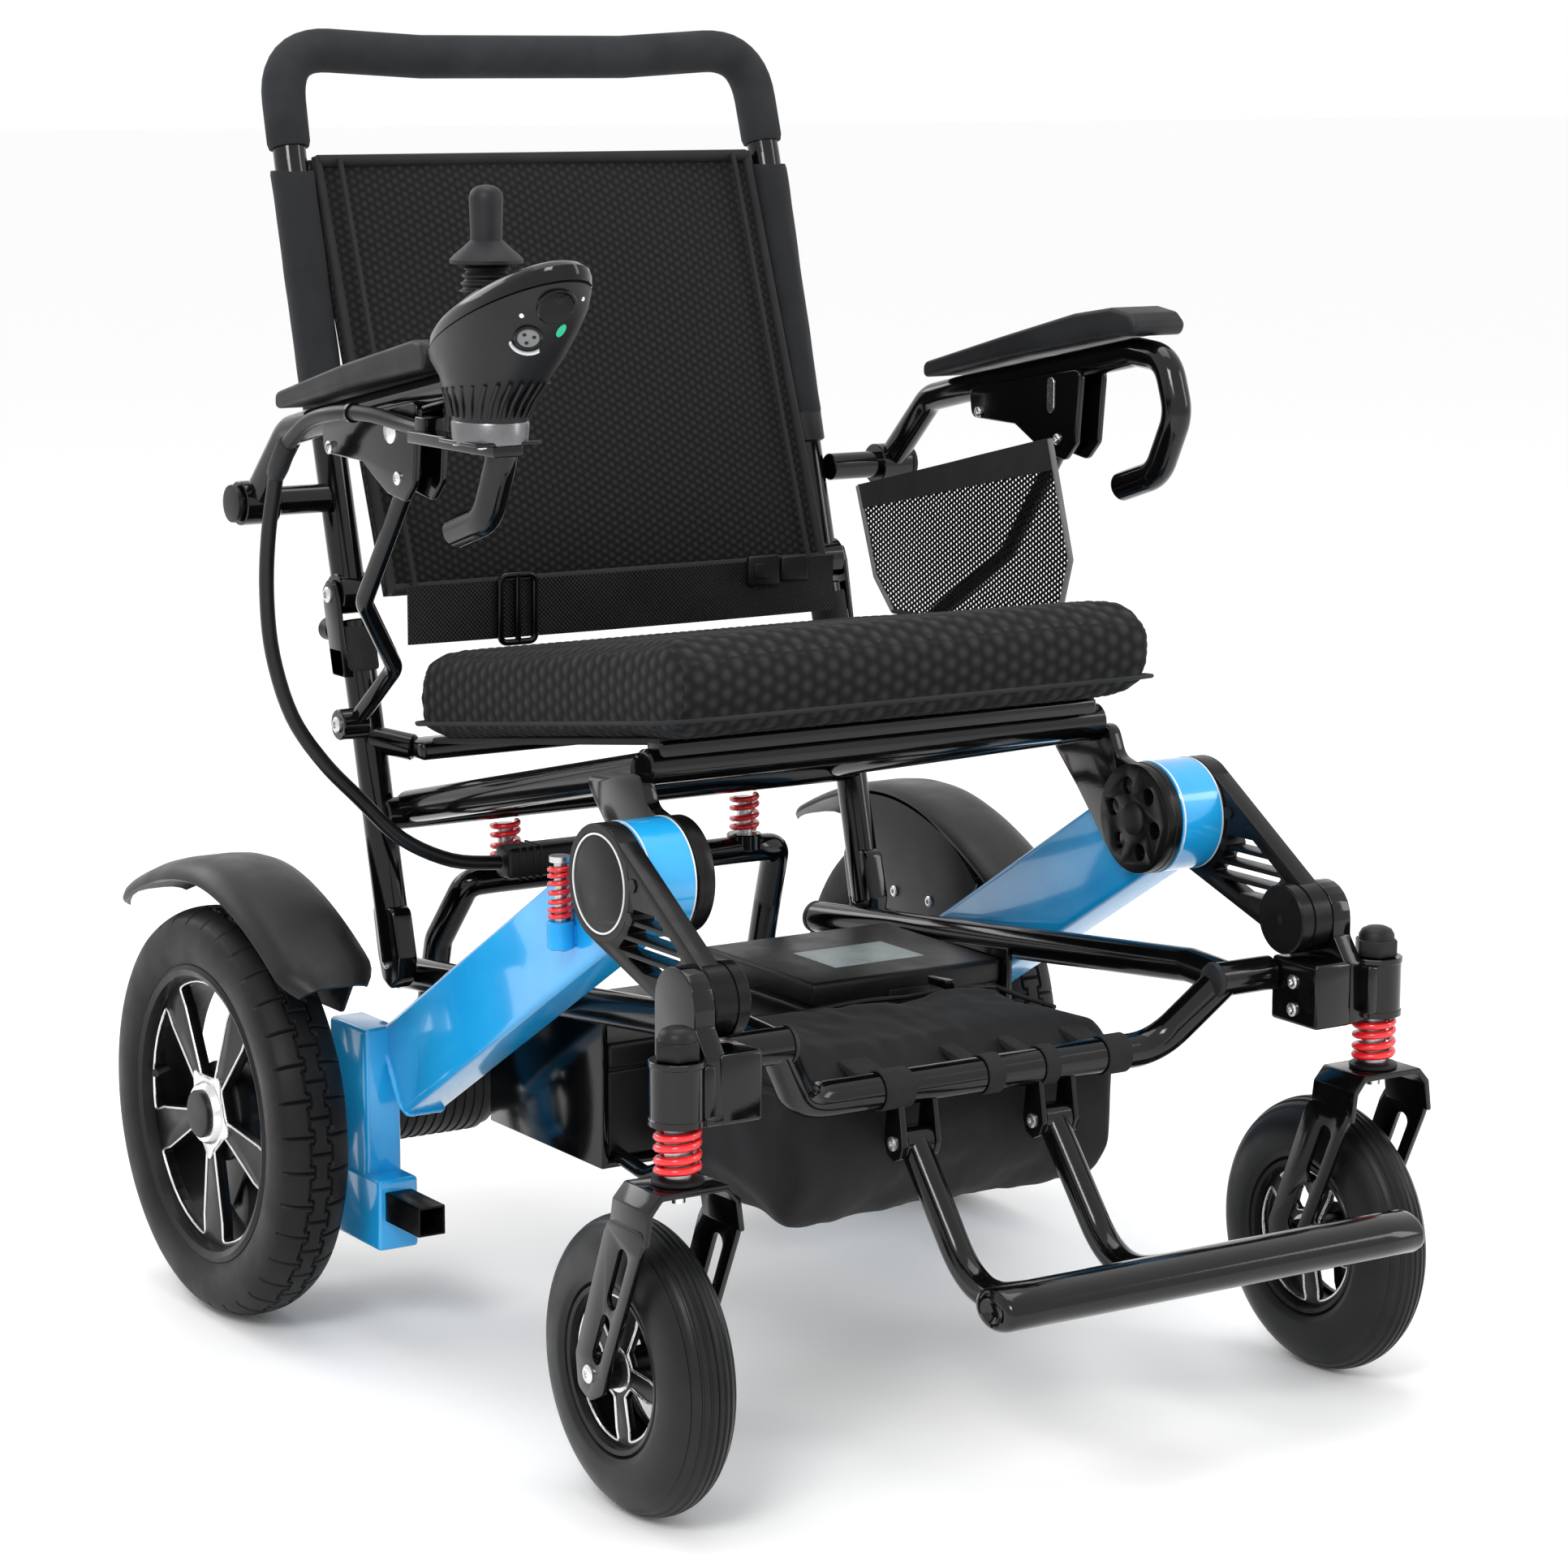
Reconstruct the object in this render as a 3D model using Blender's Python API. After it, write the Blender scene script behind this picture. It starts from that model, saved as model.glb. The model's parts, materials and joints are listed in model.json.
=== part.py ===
"""Folding power wheelchair, modelled as separate pieces in metres.

The chair stands on z = 0 and faces -Y. X = 0 is its middle plane: the occupant's right side,
with the joystick, is at -X. Right hand pieces end in _R and left hand pieces in _L.
"""
import bmesh
import bpy
from math import cos, pi, radians, sin
from mathutils import Matrix, Vector

GAP = 0.0003                       # running gap between touching pieces

# Wheels
REAR_X, REAR_Y, REAR_R, REAR_WIDTH = 0.320, 0.308, 0.155, 0.058
CASTER_X, CASTER_Y, CASTER_R, CASTER_WIDTH = 0.2895, -0.2415, 0.100, 0.050
STEM_Y = -0.290                    # swivel axis, ahead of the caster axle

# Drum: the main fold hinge
DRUM_Y, DRUM_Z, DRUM_R = -0.1365, 0.398, 0.0405
PIN_R, PIN_SIDES = 0.020, 16
PLATE_IN, PLATE_OUT = 0.1925, 0.2035
BEAM_IN, BEAM_OUT = 0.2045, 0.2408
ARM_IN, ARM_OUT = 0.2415, 0.2572
BLOCK_IN, BLOCK_OUT = 0.2285, 0.2615
TIP_X = 0.245                      # middle of the anti-tip bar
BEAM_SLOPE = radians(31)
BEAM_HALF = 0.0345
KNEE_Y, KNEE_Z, KNEE_R = -0.2575, 0.341, 0.025    # lower end of the front truss arm

# Seat
TUBE_R = 0.0125
SEAT_FRONT_Y, SEAT_FRONT_Z = -0.088, 0.4635
RAIL_X = 0.190
CUSHION_HALF = 0.206
CUSHION_FRONT, CUSHION_REAR = -0.1535, 0.240
CUSHION_FRONT_TOP, CUSHION_REAR_TOP = 0.557, 0.502
CUSHION_THICK = 0.064

# Back
POST_X = 0.2125
POST_FOOT = (0.238, 0.269)
FOLD_Y, FOLD_Z = 0.308, 0.540      # hinge of the folding back
CANE_LEAN = radians(15.3)
CANE_TOP_Z = 0.859
HANDLE_TOP_Z = 0.944
BACK_HALF = 0.199                  # the panel clears the posts when the back folds

LUG_IN, LUG_OUT = 0.2256, 0.2300

# Arms
ARM_Y, ARM_Z = 0.3185, 0.6116      # hinge of the arms on the back
ARM_X, ARM_TUBE_R = 0.284, 0.011

# Lower frame and footrest
STUB_Y, STUB_Z, STUB_END = -0.2465, 0.3009, 0.1775
BAR_Y, BAR_Z = -0.2176, 0.251
FOOT_X, FOOT_Y, FOOT_Z = 0.0585, -0.219, 0.2125
FOOT_BAR_Y, FOOT_BAR_Z, FOOT_BAR_HALF = -0.4665, 0.175, 0.170

# Joystick
STICK_X, STICK_Y, STICK_PIVOT_Z = -0.3085, -0.084, 0.788

COLOURS = {
    "blue_paint": ((0.02, 0.36, 0.78), 0.22, 0.3),
    "black_paint": ((0.008, 0.008, 0.009), 0.2, 0.4),
    "black_plastic": ((0.014, 0.014, 0.015), 0.42, 0.0),
    "grey_foam": ((0.035, 0.037, 0.04), 0.85, 0.0),
    "mesh_fabric": ((0.015, 0.015, 0.016), 0.9, 0.0),
    "nylon": ((0.012, 0.012, 0.013), 0.8, 0.0),
    "rubber": ((0.012, 0.012, 0.012), 0.75, 0.0),
    "rim_black": ((0.012, 0.012, 0.013), 0.35, 0.5),
    "red_spring": ((0.6, 0.01, 0.015), 0.3, 0.4),
    "steel": ((0.6, 0.6, 0.6), 0.25, 1.0),
    "cable_black": ((0.01, 0.01, 0.01), 0.5, 0.0),
}


def clear_scene():
    for obj in list(bpy.data.objects):
        bpy.data.objects.remove(obj, do_unlink=True)


def material(name):
    if name in bpy.data.materials:
        return bpy.data.materials[name]
    mat = bpy.data.materials.new(name)
    mat.use_nodes = True
    colour, rough, metal = COLOURS[name]
    shader = mat.node_tree.nodes["Principled BSDF"]
    shader.inputs["Base Color"].default_value = (*colour, 1)
    shader.inputs["Roughness"].default_value = rough
    shader.inputs["Metallic"].default_value = metal
    return mat


# ---------------------------------------------------------------- shapes

def skin(rings, closed=False):
    """A solid through rings of points: end rings are capped, or joined if closed."""
    mesh = bmesh.new()
    made = [[mesh.verts.new(p) for p in ring] for ring in rings]
    size = len(rings[0])
    pairs = list(zip(made, made[1:]))
    if closed:
        pairs.append((made[-1], made[0]))
    for low, high in pairs:
        for i in range(size):
            j = (i + 1) % size
            mesh.faces.new((low[i], low[j], high[j], high[i]))
    if not closed:
        mesh.faces.new(list(reversed(made[0])))
        mesh.faces.new(made[-1])
    bmesh.ops.recalc_face_normals(mesh, faces=mesh.faces)
    return mesh


def sweep(points, radius, sides=10):
    """A round bar along points."""
    points = [Vector(p) for p in points]
    steps = [(b - a).normalized() for a, b in zip(points, points[1:])]
    tangents = [steps[0]]
    tangents += [(a + b).normalized() for a, b in zip(steps, steps[1:])]
    tangents.append(steps[-1])
    helper = Vector((0, 0, 1)) if abs(tangents[0].z) < 0.9 else Vector((0, 1, 0))
    normal = tangents[0].cross(helper).normalized()
    rings = []
    for point, tangent in zip(points, tangents):
        normal = (normal - tangent * normal.dot(tangent)).normalized()
        across = tangent.cross(normal)
        turns = [2 * pi * (i + 0.5) / sides for i in range(sides)]
        rings.append([point + radius * (cos(t) * normal + sin(t) * across) for t in turns])
    return skin(rings)


def rounded(points, radius, steps=3):
    """The same route with its inner corners rounded."""
    points = [Vector(p) for p in points]
    route = [points[0]]
    for before, corner, after in zip(points, points[1:], points[2:]):
        back = (before - corner).normalized()
        ahead = (after - corner).normalized()
        half = back.angle(ahead) / 2
        reach = min(radius / max(0.05, abs(sin(half) / cos(half))),
                    (before - corner).length * 0.49, (after - corner).length * 0.49)
        start, end = corner + back * reach, corner + ahead * reach
        for i in range(steps + 1):
            t = i / steps
            route.append(start * (1 - t) ** 2 + corner * 2 * t * (1 - t) + end * t ** 2)
    route.append(points[-1])
    return route


def smooth_route(points, steps=3):
    """A Catmull-Rom curve through points."""
    ends = [points[0]] + list(points) + [points[-1]]
    ends = [Vector(p) for p in ends]
    route = []
    for a, b, c, d in zip(ends, ends[1:], ends[2:], ends[3:]):
        for i in range(steps):
            t = i / steps
            route.append(0.5 * (2 * b + (c - a) * t + (2 * a - 5 * b + 4 * c - d) * t * t
                                + (3 * b - a - 3 * c + d) * t ** 3))
    route.append(ends[-1])
    return route


def prism(outline, low, high):
    """A side view outline of (y, z) points, made solid from x = low to x = high."""
    return skin([[(x, y, z) for y, z in outline] for x in (low, high)])


def box(x0, x1, y0, y1, z0, z1):
    return prism([(y0, z0), (y1, z0), (y1, z1), (y0, z1)], x0, x1)


def circle(y, z, radius, sides=20):
    return [(y + radius * cos(2 * pi * i / sides), z + radius * sin(2 * pi * i / sides))
            for i in range(sides)]


def disc(y, z, radius, low, high, sides=20):
    return prism(circle(y, z, radius, sides), low, high)


def upright(x, y, radius, low, high, sides=16):
    turns = [2 * pi * i / sides for i in range(sides)]
    return skin([[(x + radius * cos(t), y + radius * sin(t), z) for t in turns] for z in (low, high)])


def turned(profile, y, z, sides=32):
    """A closed profile of (x, radius) points turned round the X line through y, z."""
    rings = []
    for i in range(sides):
        t = 2 * pi * i / sides
        rings.append([(x, y + r * cos(t), z + r * sin(t)) for x, r in profile])
    return skin(rings, closed=True)


def coil(x, y, low, high, radius, wire, turns, steps=9):
    """A compression spring standing on end."""
    count = int(turns * steps)
    rise = (high - low - 2 * wire) / count
    points = []
    for i in range(count + 1):
        t = 2 * pi * i / steps
        points.append((x + radius * cos(t), y + radius * sin(t), low + wire + rise * i))
    return sweep(points, wire, 5)


def loft(sections, sides=20):
    """Tilted ellipses, each (x, y, z, half width, half length, tilt), skinned together."""
    rings = []
    for x, y, z, wide, long, tilt in sections:
        ring = []
        for i in range(sides):
            t = 2 * pi * i / sides
            along = long * sin(t)
            ring.append((x + wide * cos(t), y + along * cos(tilt), z - along * sin(tilt)))
        rings.append(ring)
    return skin(rings)


def to_object(mesh, name):
    data = bpy.data.meshes.new(name)
    mesh.to_mesh(data)
    mesh.free()
    obj = bpy.data.objects.new(name, data)
    bpy.context.collection.objects.link(obj)
    return obj


def solid(name, finish, shapes, holes=(), origin=(0, 0, 0)):
    """Join shapes into one body, cut the holes, and name it. Its origin goes to origin."""
    body = to_object(shapes[0], name)
    steps = [(s, "UNION") for s in shapes[1:]] + [(h, "DIFFERENCE") for h in holes]
    for mesh, operation in steps:
        tool = to_object(mesh, "tool")
        modifier = body.modifiers.new("join", "BOOLEAN")
        modifier.operation = operation
        modifier.solver = "EXACT"
        modifier.object = tool
        bpy.context.view_layer.update()
        result = bpy.data.meshes.new_from_object(body.evaluated_get(bpy.context.evaluated_depsgraph_get()))
        body.modifiers.clear()
        old = body.data
        body.data = result
        bpy.data.meshes.remove(old)
        bpy.data.objects.remove(tool, do_unlink=True)
    body.data.name = name
    body.data.transform(Matrix.Translation(-Vector(origin)))
    body.location = origin
    body.data.materials.clear()
    body.data.materials.append(material(finish))
    body.data.shade_smooth()
    body.data.set_sharp_from_angle(angle=radians(35))
    return body


def cushion_top(y):
    share = (y - CUSHION_FRONT) / (CUSHION_REAR - CUSHION_FRONT)
    return CUSHION_FRONT_TOP + share * (CUSHION_REAR_TOP - CUSHION_FRONT_TOP)


def cane_y(z):
    return FOLD_Y + (z - FOLD_Z) * sin(CANE_LEAN) / cos(CANE_LEAN)


# ---------------------------------------------------------------- seat

def seat_frame():
    deck_drop = CUSHION_THICK + 0.001
    deck = [(-0.095, cushion_top(-0.095) - deck_drop), (0.232, cushion_top(0.232) - deck_drop),
            (0.232, cushion_top(0.232) - deck_drop - 0.005),
            (-0.095, cushion_top(-0.095) - deck_drop - 0.005)]
    cross_y, cross_z = 0.260, 0.378
    rear_y, rear_z = 0.250, 0.4285
    shapes = [sweep([(-0.1925, SEAT_FRONT_Y, SEAT_FRONT_Z), (0.1925, SEAT_FRONT_Y, SEAT_FRONT_Z)], TUBE_R),
              prism(deck, -0.185, 0.185),
              sweep([(-POST_X, cross_y, cross_z), (POST_X, cross_y, cross_z)], TUBE_R),
              sweep([(-0.19, rear_y, rear_z), (-POST_X, 0.276, 0.434)], 0.010),
              sweep([(0.19, rear_y, rear_z), (POST_X, 0.276, 0.434)], 0.010),
              box(-0.195, 0.195, rear_y - 0.022, rear_y + 0.008, rear_z - 0.007, rear_z + 0.007),
              box(-0.185, 0.185, -0.098, -0.078, 0.468, 0.4815)]
    bracket = [(-0.020, 0.452), (-0.100, 0.462), (-0.110, 0.440), (-0.150, 0.430), (-0.128, 0.358),
               (-0.098, 0.375), (-0.065, 0.410)]
    lug = [(0.284, 0.480), (0.304, 0.480), (0.317, 0.530), (0.319, 0.543), (0.311, 0.551),
           (0.301, 0.549), (0.296, 0.538)]
    for side in (-1, 1):
        shapes += [sweep([(side * RAIL_X, SEAT_FRONT_Y, SEAT_FRONT_Z - 0.002),
                          (side * RAIL_X, cross_y, cross_z + 0.004)], TUBE_R),
                   prism(bracket, side * PLATE_IN, side * PLATE_OUT),
                   disc(DRUM_Y, DRUM_Z, DRUM_R, side * PLATE_IN, side * PLATE_OUT),
                   disc(DRUM_Y, DRUM_Z, PIN_R, side * PLATE_IN, side * BEAM_OUT, PIN_SIDES),
                   sweep([(side * POST_X, *POST_FOOT), (side * POST_X, 0.2835, 0.450),
                          (side * POST_X, cane_y(0.520), 0.520)], TUBE_R),
                   prism(lug, side * LUG_IN, side * LUG_OUT),
                   prism(lug[:2] + [(0.309, 0.500), (0.289, 0.500)], side * 0.2150, side * LUG_OUT),
                   prism([(0.231, 0.312), (0.221, 0.275), (0.224, 0.258), (0.235, 0.249), (0.248, 0.255),
                          (0.255, 0.272), (0.264, 0.312)], side * 0.2040, side * 0.2210)]
    return solid("seat_frame", "black_paint", shapes)


def seat_cushion():
    front, rear = CUSHION_FRONT, CUSHION_REAR

    def bottom(y):
        return cushion_top(y) - CUSHION_THICK

    outline = [(front + 0.010, bottom(front + 0.010)), (rear - 0.008, bottom(rear - 0.008)),
               (rear, bottom(rear) + 0.008), (rear, cushion_top(rear) - 0.012),
               (rear - 0.012, cushion_top(rear - 0.012)), (front + 0.022, cushion_top(front + 0.022)),
               (front + 0.006, cushion_top(front) - 0.006), (front, cushion_top(front) - 0.022),
               (front, bottom(front) + 0.012)]
    return solid("seat_cushion", "mesh_fabric", [prism(outline, -CUSHION_HALF, CUSHION_HALF)])


# ---------------------------------------------------------------- front frame

def truss_arm(name, side):
    """Flat arm from the drum to the knee: two rails that close in, with slats between."""
    drum, knee = Vector((DRUM_Y, DRUM_Z)), Vector((KNEE_Y, KNEE_Z))
    along = (knee - drum).normalized()
    across = Vector((-along.y, along.x))
    low, high = side * (ARM_IN + 0.001), side * (ARM_OUT - 0.001)
    shapes = [disc(DRUM_Y, DRUM_Z, DRUM_R, side * ARM_IN, side * ARM_OUT, 28),
              disc(KNEE_Y, KNEE_Z, KNEE_R, side * 0.2280, side * 0.2560, 20)]
    for edge in (-1, 1):
        start, end = drum + across * edge * 0.036, knee + across * edge * 0.020
        inner = across * (-edge * 0.007)
        shapes.append(prism([tuple(p) for p in (start, end, end + inner, start + inner)], low, high))
    for share in (0.42, 0.53, 0.64):
        middle = drum + (knee - drum) * share
        reach = across * (0.034 - 0.014 * share)
        step = along * 0.0025
        shapes.append(prism([tuple(p) for p in (middle - reach - step, middle + reach - step,
                                                middle + reach + step, middle - reach + step)],
                            low, side * (ARM_OUT - 0.004)))
    return solid(name, "black_paint", shapes)


def caster_block(name, side):
    """Cheek behind the knee, bolted block under it and the upright caster housing."""
    cheek = [(-0.2975, 0.268), (-0.2475, 0.268), (-0.2325, 0.300), (-0.2325, 0.341)]
    for angle in range(30, 151, 30):
        cheek.append((KNEE_Y + KNEE_R * cos(radians(angle)), KNEE_Z + KNEE_R * sin(radians(angle))))
    cheek += [(-0.2825, 0.341), (-0.2975, 0.310)]
    shapes = [prism(cheek, side * 0.2565, side * 0.2720),
              box(*sorted((side * 0.2290, side * 0.2620)), -0.2975, -0.2475, 0.2680, 0.3145),
              upright(side * CASTER_X, STEM_Y, 0.0185, 0.272, 0.3142, 18)]
    bore = upright(side * CASTER_X, STEM_Y, 0.0073, 0.260, 0.325, 12)
    return solid(name, "black_paint", shapes, [bore])


def lower_frame():
    """Side tubes, the bent front bar with its footrest lugs, and the battery tray."""
    shapes = [sweep(rounded([(-0.187, STUB_Y, STUB_Z), (-0.150, BAR_Y, BAR_Z), (0.150, BAR_Y, BAR_Z),
                             (0.187, STUB_Y, STUB_Z)], 0.030), TUBE_R),
              box(-0.176, 0.176, -0.006, 0.158, 0.160, 0.1655)]
    lug = [(-0.212, 0.250), (-0.207, 0.2125), (-0.211, 0.203), (-0.219, 0.1995), (-0.227, 0.203),
           (-0.231, 0.2125), (-0.224, 0.250)]
    for side in (-1, 1):
        shapes += [sweep([(side * RAIL_X, 0.278, 0.252), (side * RAIL_X, -0.205, 0.303),
                          (side * RAIL_X, STUB_Y - 0.002, STUB_Z)], TUBE_R),
                   sweep([(side * STUB_END, STUB_Y, STUB_Z), (side * 0.2285, STUB_Y, STUB_Z)], TUBE_R),
                   prism([(-0.006, 0.160), (0.158, 0.160), (0.158, 0.262), (-0.006, 0.280)],
                         side * 0.1735, side * 0.1790),
                   prism(lug, side * 0.0425, side * 0.0470),
                   prism(lug, side * 0.0700, side * 0.0745)]
    return solid("lower_frame", "black_paint", shapes)


def footrest():
    """Two bent legs and an oval bar, which flip up about their lugs."""
    shapes = []
    for side in (-1, 1):
        route = rounded([(side * FOOT_X, FOOT_Y, FOOT_Z), (side * FOOT_X, -0.297, 0.1185),
                         (side * FOOT_X, FOOT_BAR_Y, FOOT_BAR_Z)], 0.035, 4)
        shapes += [sweep(route, 0.0108), disc(FOOT_Y, FOOT_Z, 0.0112, side * 0.0473, side * 0.0697, 14)]
    bar = []
    for x, share in ((-1, 0.35), (-0.985, 0.72), (-0.955, 0.95), (-0.93, 1), (0.93, 1), (0.955, 0.95),
                     (0.985, 0.72), (1, 0.35)):
        bar.append([(x * FOOT_BAR_HALF, FOOT_BAR_Y + 0.021 * share * cos(2 * pi * i / 16),
                     FOOT_BAR_Z + 0.014 * share * sin(2 * pi * i / 16)) for i in range(16)])
    return solid("footrest", "black_paint", [skin(bar)] + shapes, origin=(0, FOOT_Y, FOOT_Z))


def batteries():
    solid("battery_R", "black_plastic", [box(-0.1725, -0.003, -0.003, 0.152, 0.1662, 0.2500)])
    solid("battery_L", "black_plastic", [box(0.003, 0.1725, -0.001, 0.155, 0.1662, 0.2720)])


def storage_bag():
    front, rear = -0.198, -0.016
    low = [(front + 0.018, 0.138), (rear - 0.015, 0.138), (rear, 0.160), (rear, 0.262), (rear - 0.02, 0.272),
           (front + 0.03, 0.272), (front, 0.250), (front, 0.165)]
    return solid("storage_bag", "nylon", [prism(low, -0.146, 0.146)])


# ---------------------------------------------------------------- casters

def caster(tag, side):
    x = side * CASTER_X
    stem = [upright(x, STEM_Y, 0.0140, 0.3146, 0.3240, 6), upright(x, STEM_Y, 0.0105, 0.3230, 0.3358, 12),
            upright(x, STEM_Y, 0.0070, 0.2340, 0.3200, 12)]
    solid("caster_stem_" + tag, "black_paint", stem, origin=(x, STEM_Y, 0.314))
    solid("caster_spring_" + tag, "red_spring",
          [coil(x, STEM_Y, 0.2345, 0.2715, 0.0132, 0.0026, 4)], origin=(x, STEM_Y, 0.272))
    blade = [(-0.311, 0.2150), (-0.266, 0.2150), (-0.258, 0.200), (-0.224, 0.112), (-0.2265, 0.090),
             (-0.2415, 0.084), (-0.2565, 0.091), (-0.264, 0.108), (-0.306, 0.195)]
    slots = [[(-0.292, 0.200), (-0.276, 0.200), (-0.262, 0.165), (-0.275, 0.160)],
             [(-0.270, 0.150), (-0.258, 0.155), (-0.244, 0.120), (-0.254, 0.118)]]
    crown = [[(x + a * wide, y, z) for a, y in ((-1, -0.311), (1, -0.311), (1, -0.266), (-1, -0.266))]
             for z, wide in ((0.2335, 0.0260), (0.2240, 0.0340), (0.2080, 0.0375), (0.2070, 0.0375))]
    inner = box(x - 0.0335, x + 0.0335, -0.320, -0.255, 0.2000, 0.2145)
    shapes = [skin(crown)]
    holes = [inner]
    for edge in (-1, 1):
        shapes.append(prism(blade, x + edge * 0.0335, x + edge * 0.0375))
        holes += [prism(slot, x + edge * 0.030, x + edge * 0.041) for slot in slots]
    shapes.append(disc(CASTER_Y, CASTER_R, 0.0060, x - 0.0400, x + 0.0400, 12))
    solid("caster_fork_" + tag, "black_paint", shapes, holes, origin=(x, STEM_Y, 0.2335))
    half = CASTER_WIDTH / 2
    tyre = [(-0.021, 0.0585), (-half, 0.075), (-0.019, 0.093), (-0.009, CASTER_R),
            (0.009, CASTER_R), (0.019, 0.093), (half, 0.075), (0.021, 0.0585)]
    solid("caster_tyre_" + tag, "rubber", [turned([(x + a, r) for a, r in tyre], CASTER_Y, CASTER_R, 28)],
          origin=(x, CASTER_Y, CASTER_R))
    rim = [(-0.0320, 0.0065), (-0.0320, 0.0150), (-0.0100, 0.0200), (-0.0200, 0.0520),
           (-0.0200, 0.0575), (0.0200, 0.0575), (0.0200, 0.0520), (0.0100, 0.0200),
           (0.0320, 0.0150), (0.0320, 0.0065)]
    solid("caster_rim_" + tag, "rim_black", [turned([(x + a, r) for a, r in rim], CASTER_Y, CASTER_R, 20)],
          origin=(x, CASTER_Y, CASTER_R))


# ---------------------------------------------------------------- back

def back_frame():
    """Two canes and the push bar in one bent tube, with an eye at each fold hinge."""
    lean = sin(CANE_LEAN) / cos(CANE_LEAN)
    top_y = FOLD_Y + (HANDLE_TOP_Z - FOLD_Z) * lean
    half = [(-POST_X, FOLD_Y, FOLD_Z), (-POST_X, cane_y(CANE_TOP_Z), CANE_TOP_Z),
            (-0.210, top_y, HANDLE_TOP_Z), (-0.09, top_y - 0.003, HANDLE_TOP_Z - 0.007)]
    route = half + [(-x, y, z) for x, y, z in reversed(half)]
    route = rounded(route, 0.050, 4)
    shapes = [sweep(route, TUBE_R)]
    for side in (-1, 1):
        shapes.append(disc(FOLD_Y, FOLD_Z, 0.0155, side * 0.2000, side * 0.2250, 16))
    solid("back_frame", "black_paint", shapes, origin=(0, FOLD_Y, FOLD_Z))
    grip = [p for p in route if p.z > CANE_TOP_Z + 0.012]
    ends = []
    for side in (-1, 1):
        ends.append(Vector((side * (POST_X - 0.0003), cane_y(0.869), 0.869)))
    grip = [ends[0]] + grip + [ends[1]]
    long = [Vector((-POST_X, cane_y(0.855), 0.855))] + grip + [Vector((POST_X, cane_y(0.855), 0.855))]
    solid("handle_grip", "grey_foam", [sweep(grip, 0.0165, 12)], [sweep(long, TUBE_R + 0.0006)],
          origin=(0, FOLD_Y, FOLD_Z))


def backrest():
    front = [(0.2675, 0.540), (0.2880, 0.600), (0.3835, 0.8636)]
    slab = front + [(0.4015, 0.8600), (0.3060, 0.600), (0.2860, 0.543)]
    shapes = [prism(slab, -BACK_HALF, BACK_HALF)]
    holes = []
    for side in (-1, 1):
        shapes.append(sweep([(side * POST_X, cane_y(0.655), 0.655), (side * POST_X, cane_y(0.852), 0.852)],
                            0.0172, 12))
        holes.append(sweep([(side * POST_X, cane_y(0.570), 0.570), (side * POST_X, cane_y(0.875), 0.875)],
                           TUBE_R + 0.0006, 10))
    solid("backrest", "mesh_fabric", shapes, holes, origin=(0, FOLD_Y, FOLD_Z))


def lap_belt():
    y0, y1, z0, z1 = 0.2562, 0.2595, 0.505, 0.549
    solid("lap_belt", "nylon", [box(-0.190, 0.190, y0, y1, z0, z1)], origin=(0, FOLD_Y, FOLD_Z))
    outer = box(-0.116, -0.080, y0 - 0.003, y1 + 0.003, z0 - 0.007, z1 + 0.006)
    slot = box(-0.120, -0.076, y0 - GAP, y1 + GAP, z0 - GAP, z1 + GAP)
    solid("belt_slider", "black_plastic", [outer], [slot], origin=(-0.098, y0, z0))


# ---------------------------------------------------------------- arms

def arm(tag, side):
    x = side * ARM_X
    pivot = disc(ARM_Y, ARM_Z, ARM_TUBE_R, side * LUG_IN, side * 0.3040, 14)
    solid("arm_pivot_" + tag, "black_paint", [pivot], origin=(side * 0.25, ARM_Y, ARM_Z))
    route = [(x, ARM_Y, ARM_Z), (x, 0.2587, 0.6694), (x, 0.2139, 0.679), (x, -0.010, 0.7226),
             (x, -0.046, 0.720), (x, -0.0600, 0.680), (x, -0.037, 0.6340), (x, 0.0068, 0.6203)]
    shapes = [sweep(rounded(route, 0.022), ARM_TUBE_R),
              disc(ARM_Y, ARM_Z, 0.0165, side * 0.2700, side * 0.2980, 16)]
    cheek = [(0.186, 0.683), (0.182, 0.6600), (0.125, 0.6590), (0.086, 0.640), (0.060, 0.636),
             (0.046, 0.650), (0.040, 0.708)]
    shapes += [prism(cheek, side * 0.2690, side * 0.2745), prism(cheek, side * 0.2900, side * 0.2955)]
    bore = disc(ARM_Y, ARM_Z, ARM_TUBE_R + GAP, side * 0.265, side * 0.305, 14)
    solid("armrest_" + tag, "black_paint", shapes, [bore], origin=(x, ARM_Y, ARM_Z))
    if side > 0:
        pad = [(0.236, 0.6865), (0.236, 0.700), (0.130, 0.727), (0.040, 0.749), (-0.006, 0.7570),
               (-0.028, 0.7540), (-0.0390, 0.745), (-0.035, 0.7345), (-0.010, 0.7345)]
    else:
        pad = [(0.236, 0.6865), (0.236, 0.700), (0.130, 0.727), (0.026, 0.7505), (0.012, 0.7500),
               (0.006, 0.742), (0.009, 0.7305)]
    cushion = prism(pad, side * 0.259, side * 0.308)
    solid("arm_pad_" + tag, "black_plastic", [cushion], origin=(x, ARM_Y, ARM_Z))
    sx = side * 0.2822
    strut = rounded([(sx, 0.074, 0.654), (sx, 0.149, 0.556), (side * 0.236, 0.191, 0.500),
                     (side * 0.242, 0.245, 0.452)], 0.018)
    solid("arm_strut_" + tag, "black_paint",
          [sweep(strut, 0.0065, 8), disc(0.245, 0.452, 0.0115, side * 0.2340, side * 0.2560, 12)],
          origin=(x, ARM_Y, ARM_Z))


def mesh_pocket():
    """Net pouch hung inside the left arm."""
    outline = [(0.276, 0.600), (0.020, 0.658), (-0.008, 0.570), (0.012, 0.505), (0.225, 0.505),
               (0.250, 0.530)]
    solid("mesh_pocket", "nylon", [prism(outline, 0.2235, 0.2285)], origin=(ARM_X, ARM_Y, ARM_Z))


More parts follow.
